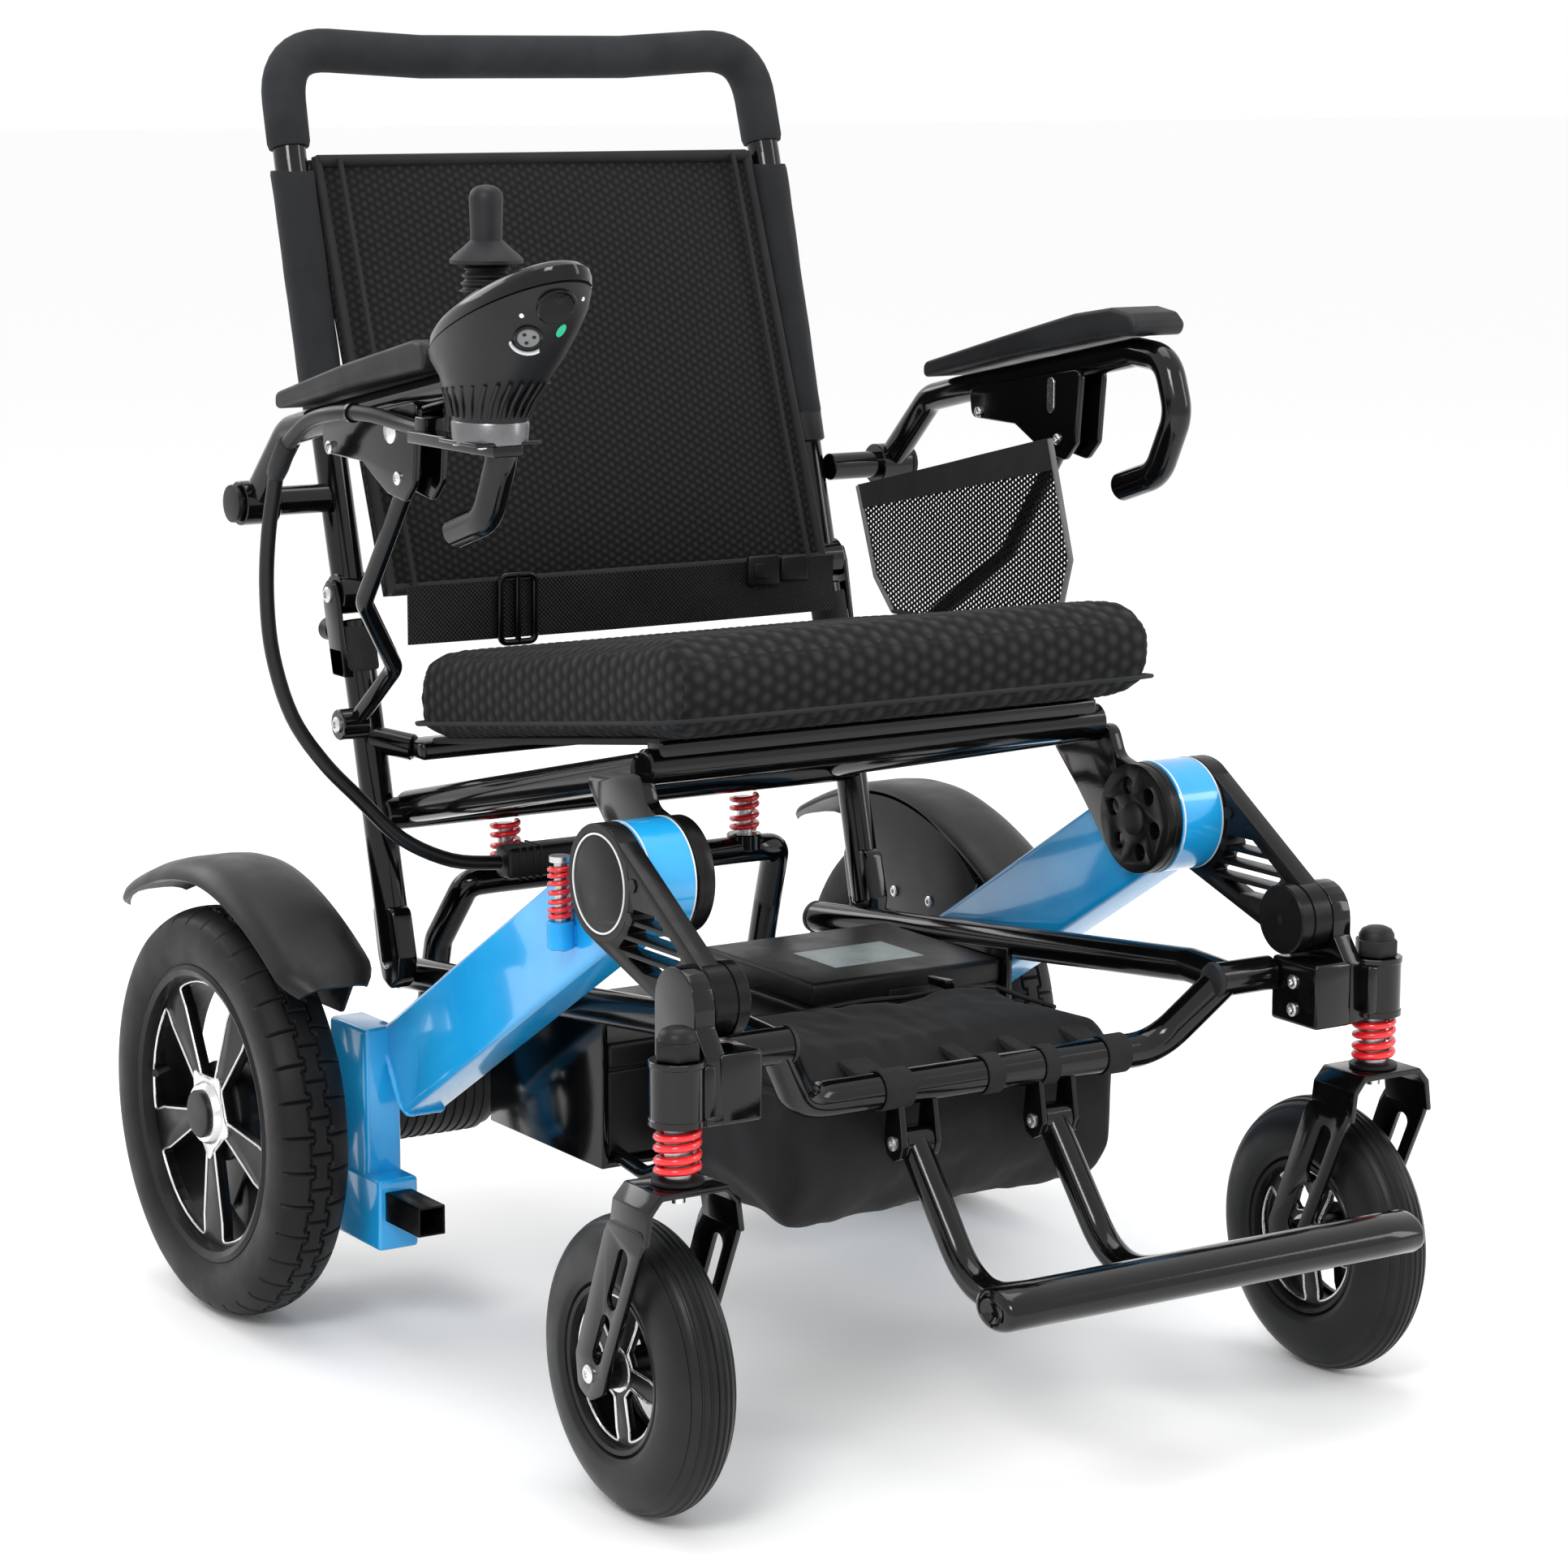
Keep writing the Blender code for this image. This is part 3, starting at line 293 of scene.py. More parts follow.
def make_materials():
    painted("blue_paint", "blue_paint", (0.008, 0.31, 0.7), (0.014, 0.37, 0.77), 0.2, 0.8)
    painted("black_paint", "black_paint", (0.0012, 0.0012, 0.0014), (0.0022, 0.0022, 0.0025), 0.12, 0.15, 0.3)
    painted("satin_paint", "black_paint", (0.002, 0.002, 0.0023), (0.004, 0.004, 0.0044), 0.3, 0.04, 0.18)
    painted("red_paint", "red_spring", (0.62, 0.004, 0.008), (0.78, 0.008, 0.014), 0.25, 0.6)
    moulded("plastic", "black_plastic", (0.0035, 0.0035, 0.004), 0.42)
    moulded("fender_plastic", "black_plastic", (0.004, 0.004, 0.0045), 0.38, 900.0, 0.3)
    moulded("housing_plastic", "black_plastic", (0.0045, 0.0047, 0.0055), 0.34, 2200.0, 0.15)
    moulded("gloss_plastic", "button_plastic", (0.002, 0.002, 0.0024), 0.1, 300.0, 0.03)
    moulded("grey_plastic", "black_plastic", (0.16, 0.165, 0.17), 0.4)
    moulded("light_grey", "button_plastic", (0.55, 0.56, 0.57), 0.45)
    moulded("green_mark", "button_plastic", (0.03, 0.42, 0.24), 0.35)
    moulded("label", "black_plastic", (0.36, 0.42, 0.42), 0.3, 200.0, 0.05)
    moulded("blue_lug", "blue_paint", (0.008, 0.26, 0.62), 0.3)
    moulded("foam", "grey_foam", (0.0125, 0.0138, 0.016), 0.85, 2600.0, 0.5)
    moulded("tyre", "tyre_rubber", (0.0045, 0.0046, 0.005), 0.5, 900.0, 0.3, 0.2)
    moulded("caster_rubber", "tyre_rubber", (0.006, 0.0063, 0.0068), 0.38, 700.0, 0.12, 0.22)
    moulded("soft_rubber", "soft_rubber", (0.007, 0.0074, 0.0085), 0.5, 1800.0, 0.2)
    moulded("cable_rubber", "cable_black", (0.004, 0.004, 0.0044), 0.32, 800.0, 0.1)
    metal("silver", "bright_steel", (0.8, 0.8, 0.81), 0.24)
    metal("dark_steel", "bright_steel", (0.2, 0.2, 0.21), 0.3)
    metal("spring_core", "bright_steel", (0.66, 0.66, 0.67), 0.35)
    painted("rim_paint", "rim_black", (0.0016, 0.0016, 0.0018), (0.003, 0.003, 0.0034), 0.34, 0.05, 0.22)
    # Seat and back mesh colours: the first is painted shade for the hollows and holes, the second the colour
    # of the cell tops.
    spacer_mesh("seat_mesh", "mesh_fabric", 0.0125, 0.003, (0.0014, 0.0014, 0.0016), (0.019, 0.0193, 0.0203))
    spacer_mesh("back_mesh", "mesh_fabric", 0.0068, 0.0024, (0.0006, 0.0006, 0.0007), (0.014, 0.0143, 0.0152))
    # Woven colours: the first is painted shade for the weave's low spots, the second the colour of the yarn
    # tops.
    woven("sleeve_cloth", "mesh_fabric", (0.0045, 0.005, 0.0068), (0.013, 0.0142, 0.018), 0.0016)
    woven("nylon", "nylon", (0.006, 0.006, 0.0066), (0.021, 0.021, 0.0226), 0.0011)
    woven("webbing", "nylon", (0.0025, 0.0025, 0.0028), (0.0105, 0.0105, 0.0115), 0.0034, 0.5, 0.5)
    woven("velcro", "nylon", (0.009, 0.009, 0.0096), (0.03, 0.03, 0.0315), 0.0019, 0.8, 0.95)
    open_net("net", "nylon", (0.006, 0.006, 0.0065), 0.0042)
    woven("grey_piping", "nylon", (0.1, 0.1, 0.105), (0.22, 0.22, 0.23), 0.0015)


# ---------------------------------------------------------------- shapes

ORIGIN = (0, 0, 0)


def turns(count):
    """Angles in even steps round a full turn."""
    return [2 * pi * i / count for i in range(count)]


def polar(centre, radius, t):
    """The two coordinates of a point at an angle round a centre."""
    return centre[0] + radius * cos(t), centre[1] + radius * sin(t)


def circle(centre, radius, count=48):
    return [polar(centre, radius, t) for t in turns(count)]


def linked(name, data):
    """A new object in the scene."""
    obj = bpy.data.objects.new(name, data)
    bpy.context.collection.objects.link(obj)
    return obj


def as_data(name, mesh):
    """A bmesh as mesh data."""
    data = bpy.data.meshes.new(name)
    mesh.to_mesh(data)
    mesh.free()
    return data


def applied(obj):
    """Give a piece the shape that its modifiers make."""
    data = bpy.data.meshes.new_from_object(obj.evaluated_get(bpy.context.evaluated_depsgraph_get()))
    obj.modifiers.clear()
    obj.data = data


def move_to(obj, places):
    """Put a piece's vertices at these places."""
    for vert, place in zip(obj.data.vertices, places):
        vert.co = place
    obj.data.update()


def skin(rings, closed=False):
    """A surface through rings of points: end rings are capped, or joined if closed."""
    mesh = bmesh.new()
    made = [[mesh.verts.new(p) for p in ring] for ring in rings]
    size = len(rings[0])
    pairs = list(zip(made, made[1:]))
    if closed:
        pairs.append((made[-1], made[0]))
    for low, high in pairs:
        for i in range(size):
            j = (i + 1) % size
            mesh.faces.new((low[i], low[j], high[j], high[i]))
    if not closed:
        mesh.faces.new(list(reversed(made[0])))
        mesh.faces.new(made[-1])
    bmesh.ops.recalc_face_normals(mesh, faces=mesh.faces)
    return mesh


def fillet(points, radius, steps=7, closed=False):
    """The same route with its corners rounded. Points may have two or three numbers."""
    points = [Vector(p) for p in points]
    if closed:
        trios = zip(points[-1:] + points[:-1], points, points[1:] + points[:1])
        route = []
    else:
        trios = zip(points, points[1:], points[2:])
        route = [points[0]]
    for before, corner, after in trios:
        back, ahead = (before - corner).normalized(), (after - corner).normalized()
        half = max(0.02, back.angle(ahead) / 2)
        reach = min(radius / tan(half), (before - corner).length * 0.48, (after - corner).length * 0.48)
        start, end = corner + back * reach, corner + ahead * reach
        for i in range(steps + 1):
            t = i / steps
            route.append(start * (1 - t) ** 2 + corner * 2 * t * (1 - t) + end * t ** 2)
    if not closed:
        route.append(points[-1])
    return route


def rounded(loop, radius, steps):
    """A closed loop with its corners rounded."""
    return fillet(loop, radius, steps, closed=True)


def spline(points, steps=6):
    """A Catmull-Rom curve through points."""
    ends = [Vector(p) for p in [points[0], *points, points[-1]]]
    route = []
    for a, b, c, d in zip(ends, ends[1:], ends[2:], ends[3:]):
        for i in range(steps):
            t = i / steps
            square, cube = 2 * a - 5 * b + 4 * c - d, 3 * b - a - 3 * c + d
            route.append(0.5 * (2 * b + (c - a) * t + square * t * t + cube * t ** 3))
    route.append(ends[-1])
    return route


def sweep(points, radius, sides=20, closed=False, flat=1.0):
    """A bar along points. radius is a number or one for each point; flat squeezes its first axis."""
    points = [Vector(p) for p in points]
    sizes = radius if isinstance(radius, (list, tuple)) else [radius] * len(points)
    steps = [(b - a).normalized() for a, b in zip(points, points[1:])]
    if closed:
        steps.append((points[0] - points[-1]).normalized())
        tangents = [(a + b).normalized() for a, b in zip(steps[-1:] + steps[:-1], steps)]
    else:
        tangents = [steps[0]] + [(a + b).normalized() for a, b in zip(steps, steps[1:])] + [steps[-1]]
    helper = Vector((0, 0, 1)) if abs(tangents[0].z) < 0.9 else Vector((0, 1, 0))
    normal = tangents[0].cross(helper).normalized()
    rings = []
    for point, tangent, size in zip(points, tangents, sizes):
        normal = (normal - tangent * normal.dot(tangent)).normalized()
        across = tangent.cross(normal)
        rings.append([point + size * (flat * cos(t) * normal + sin(t) * across) for t in turns(sides)])
    return skin(rings, closed)


def tube(points, radius, bend=0.03, sides=24, steps=8):
    """A bent tube with slightly rounded ends."""
    route = fillet(points, bend, steps)
    lip = radius * 0.12
    first, last = (route[1] - route[0]).normalized(), (route[-2] - route[-1]).normalized()
    route = [route[0], route[0] + first * lip] + route[1:-1] + [route[-1] + last * lip, route[-1]]
    sizes = [radius - lip] + [radius] * (len(route) - 2) + [radius - lip]
    return sweep(route, sizes, sides)


def around(centre, axis, along, r, t):
    """The point at an angle t and a radius r round an axis through centre, that far along it."""
    a, b = polar(ORIGIN, r, t)
    local = {"X": (along, a, b), "Y": (a, along, b), "Z": (a, b, along)}[axis]
    return Vector(centre) + Vector(local)


def turned(profile, centre, axis="X", sides=48):
    """A ring-shaped solid: a closed profile of (along, radius) points turned about an axis."""
    return skin([[around(centre, axis, along, r, t) for along, r in profile] for t in turns(sides)], True)


def stack(profile, centre, axis="X", sides=40):
    """A solid of round slices, each (along, radius), capped at both ends."""
    return skin([[around(centre, axis, along, r, t) for t in turns(sides)] for along, r in profile])


def mirror(side, profile):
    """A profile's slices on the left side, or on the right side for -1."""
    return [(side * along, r) for along, r in profile]


def disc(centre, radius, low, high, axis="X", sides=40, edge=0.0008):
    """A short round bar from low to high along an axis, with softened edges."""
    low, high = sorted((low, high))
    return stack([(low, radius - edge), (low + edge, radius), (high - edge, radius), (high, radius - edge)],
                 centre, axis, sides)


def soften(mesh, width, segments):
    """Round the mesh's sharp edges."""
    if width:
        edges = [e for e in mesh.edges if e.is_manifold and e.calc_face_angle() > radians(30)]
        bmesh.ops.bevel(mesh, geom=edges, offset=width, offset_type="OFFSET", segments=segments, profile=0.5,
                        affect="EDGES", clamp_overlap=True)
    return mesh


def plate(outline, low, high, holes=(), edge=0.0008, segments=2):
    """A flat plate with a (y, z) outline and holes, from x = low to x = high."""
    mesh = bmesh.new()
    edges = []
    for loop in (outline, *holes):
        verts = [mesh.verts.new((low, p[0], p[1])) for p in loop]
        edges += [mesh.edges.new((a, b)) for a, b in zip(verts, verts[1:] + verts[:1])]
    bmesh.ops.triangle_fill(mesh, edges=edges, use_beauty=True)
    bmesh.ops.dissolve_limit(mesh, angle_limit=radians(1), verts=[], edges=mesh.edges[:])
    grown = bmesh.ops.extrude_face_region(mesh, geom=mesh.faces[:], use_keep_orig=True)
    moved = [v for v in grown["geom"] if isinstance(v, bmesh.types.BMVert)]
    bmesh.ops.translate(mesh, vec=(high - low, 0, 0), verts=moved)
    bmesh.ops.recalc_face_normals(mesh, faces=mesh.faces)
    return soften(mesh, edge, segments)


def block(low, high, edge=0.0015, segments=3):
    """A box between two corners with rounded edges."""
    mesh = bmesh.new()
    bmesh.ops.create_cube(mesh, size=1)
    low, high = Vector(map(min, low, high)), Vector(map(max, low, high))
    for v in mesh.verts:
        v.co = Vector((low[i] + (v.co[i] + 0.5) * (high[i] - low[i]) for i in range(3)))
    return soften(mesh, edge, segments)


def merge(*meshes):
    """Several closed shells as one mesh."""
    total = bmesh.new()
    for mesh in meshes:
        data = as_data("part", mesh)
        total.from_mesh(data)
        bpy.data.meshes.remove(data)
    return total


def piece(name, mesh, material, body, *replaced, sharp=35):
    """A finished piece of one material, riding on a body or None, in place of the nodes replaced."""
    data = as_data(name, mesh)
    data.shade_smooth()
    data.set_sharp_from_angle(angle=radians(sharp))
    data.materials.append(MATERIALS[material])
    obj = linked(name, data)
    if body:
        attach(obj, body)
    if replaced:
        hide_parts(*replaced)
    return obj


def facing(at, out):
    """The placement that moves the origin to a point and turns +Z to a direction."""
    return Matrix.Translation(Vector(at)) @ Vector(out).to_track_quat("Z", "Y").to_matrix().to_4x4()


def placed(mesh, matrix):
    """The same mesh, moved by a matrix."""
    bmesh.ops.transform(mesh, matrix=matrix, verts=mesh.verts)
    return mesh


def bolt(at, out, radius=0.0045, height=0.0028):
    """A domed socket-head bolt at a point, facing the direction out."""
    mesh = stack([(0, radius), (height * 0.55, radius), (height * 0.85, radius * 0.82),
                  (height, radius * 0.5), (height, radius * 0.42), (height * 0.4, radius * 0.38)], ORIGIN,
                 "Z", 20)
    return placed(mesh, facing(at, out))


def cross_bolt(x, place, out, *size):
    """A bolt at (y, z) that faces left for an out of 1, or right for -1."""
    return bolt((x, *place), (out, 0, 0), *size)


# ---------------------------------------------------------------- joystick cable

CABLE_R = 0.0055
ARM_CABLE = [(-0.3045, 0.0126, 0.69), (-0.3055, 0.04, 0.692), (-0.311, 0.08, 0.696), (-0.3165, 0.12, 0.694),
             (-0.318, 0.16, 0.685), (-0.3185, 0.195, 0.665)]
FRAME_CABLE = [(-0.3186, 0.211, 0.645), (-0.319, 0.225, 0.6), (-0.318, 0.232, 0.555), (-0.314, 0.232, 0.51),
               (-0.302, 0.227, 0.465), (-0.28, 0.222, 0.43), (-0.252, 0.219, 0.4), (-0.22, 0.215, 0.368),
               (-0.18, 0.212, 0.348), (-0.14, 0.211, 0.342)]


def cable(name, points, body):
    """The cable as a smooth curve. Returns the curve and its length."""
    data = bpy.data.curves.new(name, "CURVE")
    data.dimensions = "3D"
    data.bevel_depth = CABLE_R
    data.bevel_resolution = 6
    data.use_fill_caps = True
    route = spline(points, 5)
    line = data.splines.new("POLY")
    line.points.add(len(route) - 1)
    for place, point in zip(line.points, route):
        place.co = (*point, 1)
    data.materials.append(MATERIALS["cable_rubber"])
    obj = linked(name, data)
    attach(obj, body)
    return obj, sum((b - a).length for a, b in zip(route, route[1:]))


def make_cords():
    lead, length = cable("arm_cord", ARM_CABLE, "arm_R")
    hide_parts("joystick_cable")
    overlap = 0.004
    joint = stack([(0, 0.0058), (0.001, 0.0072), (0.008, 0.0076), (0.024, 0.0076), (0.032, 0.0068),
                   (0.034, 0.0058)], ORIGIN, "Z", 24)
    start, end = Vector(ARM_CABLE[-1]), Vector(FRAME_CABLE[0])
    joint = placed(joint, facing(start - (end - start).normalized() * overlap, end - start))
    piece("cord_coupler", joint, "soft_rubber", "arm_R")
    low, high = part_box("cable_plug")
    centre = (low + high) / 2
    half = (high - low) / 2
    body = block(low, high, 0.004, 3)
    ribs = [block((low.x + 0.008 + 0.006 * i, low.y - 0.0006, low.z - 0.0006),
                  (low.x + 0.01 + 0.006 * i, high.y + 0.0006, high.z + 0.0006), 0.0006, 2) for i in range(4)]
    collar = disc((0, centre.y, centre.z), half.z * 0.8, high.x - 0.018, high.x - 0.012)
    plug = piece("cord_plug", merge(body, collar, *ribs), "plastic", "frame", "cable_plug")
    drop, length = cable("frame_cord", FRAME_CABLE, "frame")
    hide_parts("frame_cable")
    tie = turned([(-0.0018, 0.0054), (-0.0018, 0.007), (0.0018, 0.007), (0.0018, 0.0054)],
                 (-0.3138, 0.1, 0.6957), "Y", 24)
    piece("cord_tie", tie, "gloss_plastic", "arm_R")


# ---------------------------------------------------------------- wheels

SPOKES = 5


def window(centre, phase, corners, arc, bend):
    """A wheel window's (y, z) outline. corners are (degrees, radius) points of one side, mirrored
    on the other, and arc is the (degrees, radius) where the rounded outer edge begins."""
    spread, rim = arc
    side = [(-a, r) for a, r in corners] + [(spread * (i / 4 - 1), rim) for i in range(9)]
    side += [(a, r) for a, r in reversed(corners)]
    points = [polar(centre.yz, r, phase + radians(a)) for a, r in side]
    return rounded(points, bend, 4)


def spoked_face(centre, out, near, far, radius, windows):
    """A wheel face with windows, and the bright machined line round each window."""
    face = plate(circle(centre.yz, radius, 120), centre.x + out * near, centre.x + out * far, windows, 0.0007,
                 2)
    lines = []
    for loop in windows:
        middle = Vector((sum(p[0] for p in loop), sum(p[1] for p in loop))) / len(loop)
        wide = [p + (p - middle).normalized() * 0.0011 for p in loop]
        lines.append(sweep([(centre.x + out * (far + 0.0001), p[0], p[1]) for p in wide], 0.001, 8,
                           closed=True))
    return face, merge(*lines)


def tread_depth(share, across):
    """Depth of the tread's grooves: I-shaped lugs down the middle and shoulder blocks beside them."""
    across = abs(across)
    half = 0.0085 if share < 0.31 or share > 0.69 else 0.005
    step = 0.0045 < across < 0.009 and (abs(share - 0.31) < 0.035 or abs(share - 0.69) < 0.035)
    ring = abs(across - half) < 0.0008
    gap = across < half and (share < 0.05 or share > 0.95)
    shoulder = across > half and abs(share - 0.5) < 0.05
    return 0.0022 if step or ring or gap or shoulder else 0.0


def rear_wheel(tag, side):
    body = "rear_wheel_" + tag
    c = PIVOT["rear_wheel_roll_" + tag]
    low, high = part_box("rear_tyre_" + tag)
    radius, half = (high.z - low.z) / 2, (high.x - low.x) / 2
    pitches, steps, lanes = 36, 16, 48
    reach = 0.0245
    wall = [(0.0268, 0.1435), (0.0284, 0.1375), (half, 0.129), (0.028, 0.1215), (0.0262, 0.116),
            (0.024, 0.1128)]
    rings = []
    for j in range(pitches * steps):
        share, turn = (j % steps) / steps, 2 * pi * j / (pitches * steps)
        ring = [(-x, r) for x, r in reversed(wall)]
        for i in range(lanes + 1):
            x = reach * (2 * i / lanes - 1)
            ring.append((x, radius - 0.008 * abs(x / reach) ** 2.4 - tread_depth(share, x)))
        ring += wall
        rings.append([(c.x + x, *polar(c.yz, r, turn)) for x, r in ring])
    piece("rear_tread_" + tag, skin(rings, True), "tyre", body, "rear_tyre_" + tag, sharp=28)
    barrel = turned([(-0.0245, 0.1126), (-0.0262, 0.109), (-0.0245, 0.1045), (-0.015, 0.101), (0.015, 0.101),
                     (0.0245, 0.1045), (0.0262, 0.109), (0.0245, 0.1126)], c, "X", 120)
    corners = [(22.5, 0.0305), (24.5, 0.083)]
    shift = 0.22
    windows = [window(c, 2 * pi * (i + shift) / SPOKES, corners, (26.5, 0.0985), 0.0035)
               for i in range(SPOKES)]
    face, lines = spoked_face(c, side, 0.0085, 0.0165, 0.1018, windows)
    rear_half = plate(circle(c.yz, 0.038, 60), c.x - side * 0.012, c.x + side * 0.009, (), 0.002)
    piece("rear_wheel_rim_" + tag, merge(barrel, face, rear_half), "rim_paint", body, "rear_rim_" + tag)
    piece("rear_wheel_lines_" + tag, lines, "silver", body)
    star = []
    for t in turns(120):
        lobe = 0.5 + 0.5 * cos(SPOKES * (t - 2 * pi * (shift + 0.5) / SPOKES))
        r = 0.0272 + 0.0085 * lobe ** 3
        star.append(polar(c.yz, r, t))
    hub = plate(star, c.x + side * 0.016, c.x + side * 0.0186, (), 0.0006)
    boss = stack(mirror(side, [(0.018, 0.0245), (0.0225, 0.0225), (0.0236, 0.0215), (0.0236, 0.0185)]), c,
                 "X", 60)
    piece("rear_hub_" + tag, merge(hub, boss), "silver", body)
    cap = stack(mirror(side, [(0.0225, 0.018), (0.0262, 0.018), (0.0272, 0.0172), (0.0278, 0.013),
                              (0.028, 0.004)]), c, "X", 48)
    valve = sweep([(c.x + side * 0.006, c.y + 0.1, c.z + 0.012),
                   (c.x + side * 0.019, c.y + 0.092, c.z + 0.011)], 0.0032, 12)
    piece("rear_hub_cap_" + tag, merge(cap, valve), "plastic", body)


def caster_wheel(tag):
    body = "caster_wheel_" + tag
    c = PIVOT["caster_roll_" + tag]
    low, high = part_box("caster_tyre_" + tag)
    radius, half = (high.z - low.z) / 2, (high.x - low.x) / 2
    profile = []
    lanes = 72
    for i in range(lanes + 1):
        turn = pi * i / lanes
        x, drop = half * cos(turn), 1 - sin(turn) ** 0.85
        r = radius - drop * 0.036
        rib = abs(x) < 0.0165 and min(abs(abs(x) - g) for g in (0.0, 0.0052, 0.0104, 0.0156)) < 0.0009
        profile.append((x, r - (0.0013 if rib else 0.0)))
    profile += [(-half * 0.985, 0.062), (-half * 0.9, 0.0585), (-0.0205, 0.0578), (0.0205, 0.0578),
                (half * 0.9, 0.0585), (half * 0.985, 0.062)]
    piece("caster_tread_" + tag, turned(profile, c, "X", 120), "caster_rubber", body, "caster_tyre_" + tag,
          sharp=30)
    barrel = turned([(-0.0205, 0.0577), (-0.0222, 0.056), (-0.0215, 0.053), (-0.015, 0.0505), (0.015, 0.0505),
                     (0.0215, 0.053), (0.0222, 0.056), (0.0205, 0.0577)], c, "X", 96)
    parts, lines = [barrel, disc(c, 0.0125, -0.03, 0.03)], []
    for out in (-1, 1):
        windows = [window(c, 2 * pi * (i + 0.1) / SPOKES, [(15, 0.0205), (23, 0.04)], (27, 0.048), 0.0025)
                   for i in range(SPOKES)]
        face, line = spoked_face(c, out, 0.0125, 0.0165, 0.0512, windows)
        parts.append(face)
        lines.append(line)
        lines.append(turned([(out * 0.0163, 0.0128), (out * 0.0163, 0.016), (out * 0.0176, 0.0155),
                             (out * 0.0176, 0.0128)], c, "X", 48))
    piece("caster_wheel_rim_" + tag, merge(*parts), "rim_paint", body, "caster_rim_" + tag)
    piece("caster_wheel_lines_" + tag, merge(*lines), "silver", body)


def capsule(start, end, radius):
    """A slot's outline between two (y, z) points."""
    start, end = Vector(start), Vector(end)
    along = (end - start).normalized()
    across = Vector((-along.y, along.x))
    steps = 8
    ring = []
    for centre, sign in ((end, 1), (start, -1)):
        for i in range(steps + 1):
            t = pi * i / steps
            ring.append(centre + sign * radius * (across * cos(t) + along * sin(t)))
    return ring


def caster_fork(tag):
    body, post = "caster_yoke_" + tag, "caster_post_" + tag
    c = PIVOT["caster_roll_" + tag]
    stem = PIVOT["caster_swivel_" + tag]
    top = stem.z
    outer = [(-0.0375, 0.201), (-0.0345, 0.2235), (-0.0255, top), (0.0255, top), (0.0345, 0.2235),
             (0.0375, 0.201)]
    inner = [(0.0335, 0.201), (0.0308, 0.2208), (0.0236, top - 0.0042), (-0.0236, top - 0.0042),
             (-0.0308, 0.2208), (-0.0335, 0.201)]
    crown = plate(rounded(outer + inner, 0.003, 3), -0.311, -0.2665, (), 0.0006)
    for v in crown.verts:
        v.co = Vector((c.x + v.co.y, v.co.x, v.co.z))
    bmesh.ops.recalc_face_normals(crown, faces=crown.faces)
    blade = [(-0.311, 0.21), (-0.2665, 0.21), (-0.26, 0.2), (-0.2235, 0.11), (-0.2265, 0.088),
             (-0.2415, 0.0815), (-0.258, 0.09), (-0.265, 0.108), (-0.304, 0.193)]
    blade = rounded(blade, 0.009, 5)
    slots = [capsule((-0.284, 0.188), (-0.27, 0.156), 0.006),
             capsule((-0.262, 0.1395), (-0.2505, 0.114), 0.0055)]
    parts, bright = [crown], []
    for edge in (-1, 1):
        parts.append(plate(blade, c.x + edge * 0.0335, c.x + edge * 0.0375, slots, 0.0007))
        parts.append(disc(c, 0.01, edge * 0.03, edge * 0.0336))
        bright.append(cross_bolt(c.x + edge * 0.0374, c.yz, edge, 0.0062, 0.003))
    piece("caster_fork_shell_" + tag, merge(*parts), "black_paint", body, "caster_fork_" + tag)
    nut = stack([(-0.0005, 0.008), (-0.0035, 0.008), (-0.0036, 0.005), (-0.0085, 0.005)],
                (stem.x, stem.y, top - 0.004), "Z", 24)
    piece("caster_bolts_" + tag, merge(nut, *bright), "silver", body)
    column = stack([(0.2336, 0.0088), (0.2722, 0.0088)], (stem.x, stem.y, 0), "Z", 32)
    piece("spring_post_" + tag, column, "spring_core", post)
    seat = stack([(0.2336, 0.0165), (0.2345, 0.0172), (0.2362, 0.0172), (0.237, 0.016), (0.2378, 0.0125)],
                 (stem.x, stem.y, 0), "Z", 40)
    cap_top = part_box("caster_stem_" + tag)[1].z
    hexagon = soften(stack([(0.3147, 0.0158), (0.3268, 0.0158)], (stem.x, stem.y, 0), "Z", 6), 0.0012, 2)
    dome = stack([(0.3262, 0.0128), (0.33, 0.0126), (0.3335, 0.0105), (cap_top - 0.0004, 0.0065),
                  (cap_top, 0.002)], (stem.x, stem.y, 0), "Z", 32)
    piece("caster_top_nut_" + tag, merge(hexagon, dome, seat), "plastic", post, "caster_stem_" + tag)
    seat_top, housing_foot = 0.2378, 0.2714
    spring = coil("caster_coil_" + tag, "frame", (stem.x, stem.y), seat_top, housing_foot, 0.0133, 0.0026,
                  4.3, "caster_spring_" + tag)
    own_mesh(spring)


def coil(name, body, at, low, high, radius, wire, turns, *replaced):
    """A compression spring with closed ends, standing on end."""
    steps = 26
    count = int(turns * steps)
    points = []
    for i in range(count + 1):
        t = 2 * pi * i / steps
        share = i / count
        rise = share - 0.045 * sin(2 * pi * share)
        points.append((*polar(at, radius, t), low + wire + rise * (high - low - 2 * wire)))
    return piece(name, sweep(points, wire, 12), "red_paint", body, *replaced)


KNEE = Vector((-0.2575, 0.341))
KNEE_R = 0.025


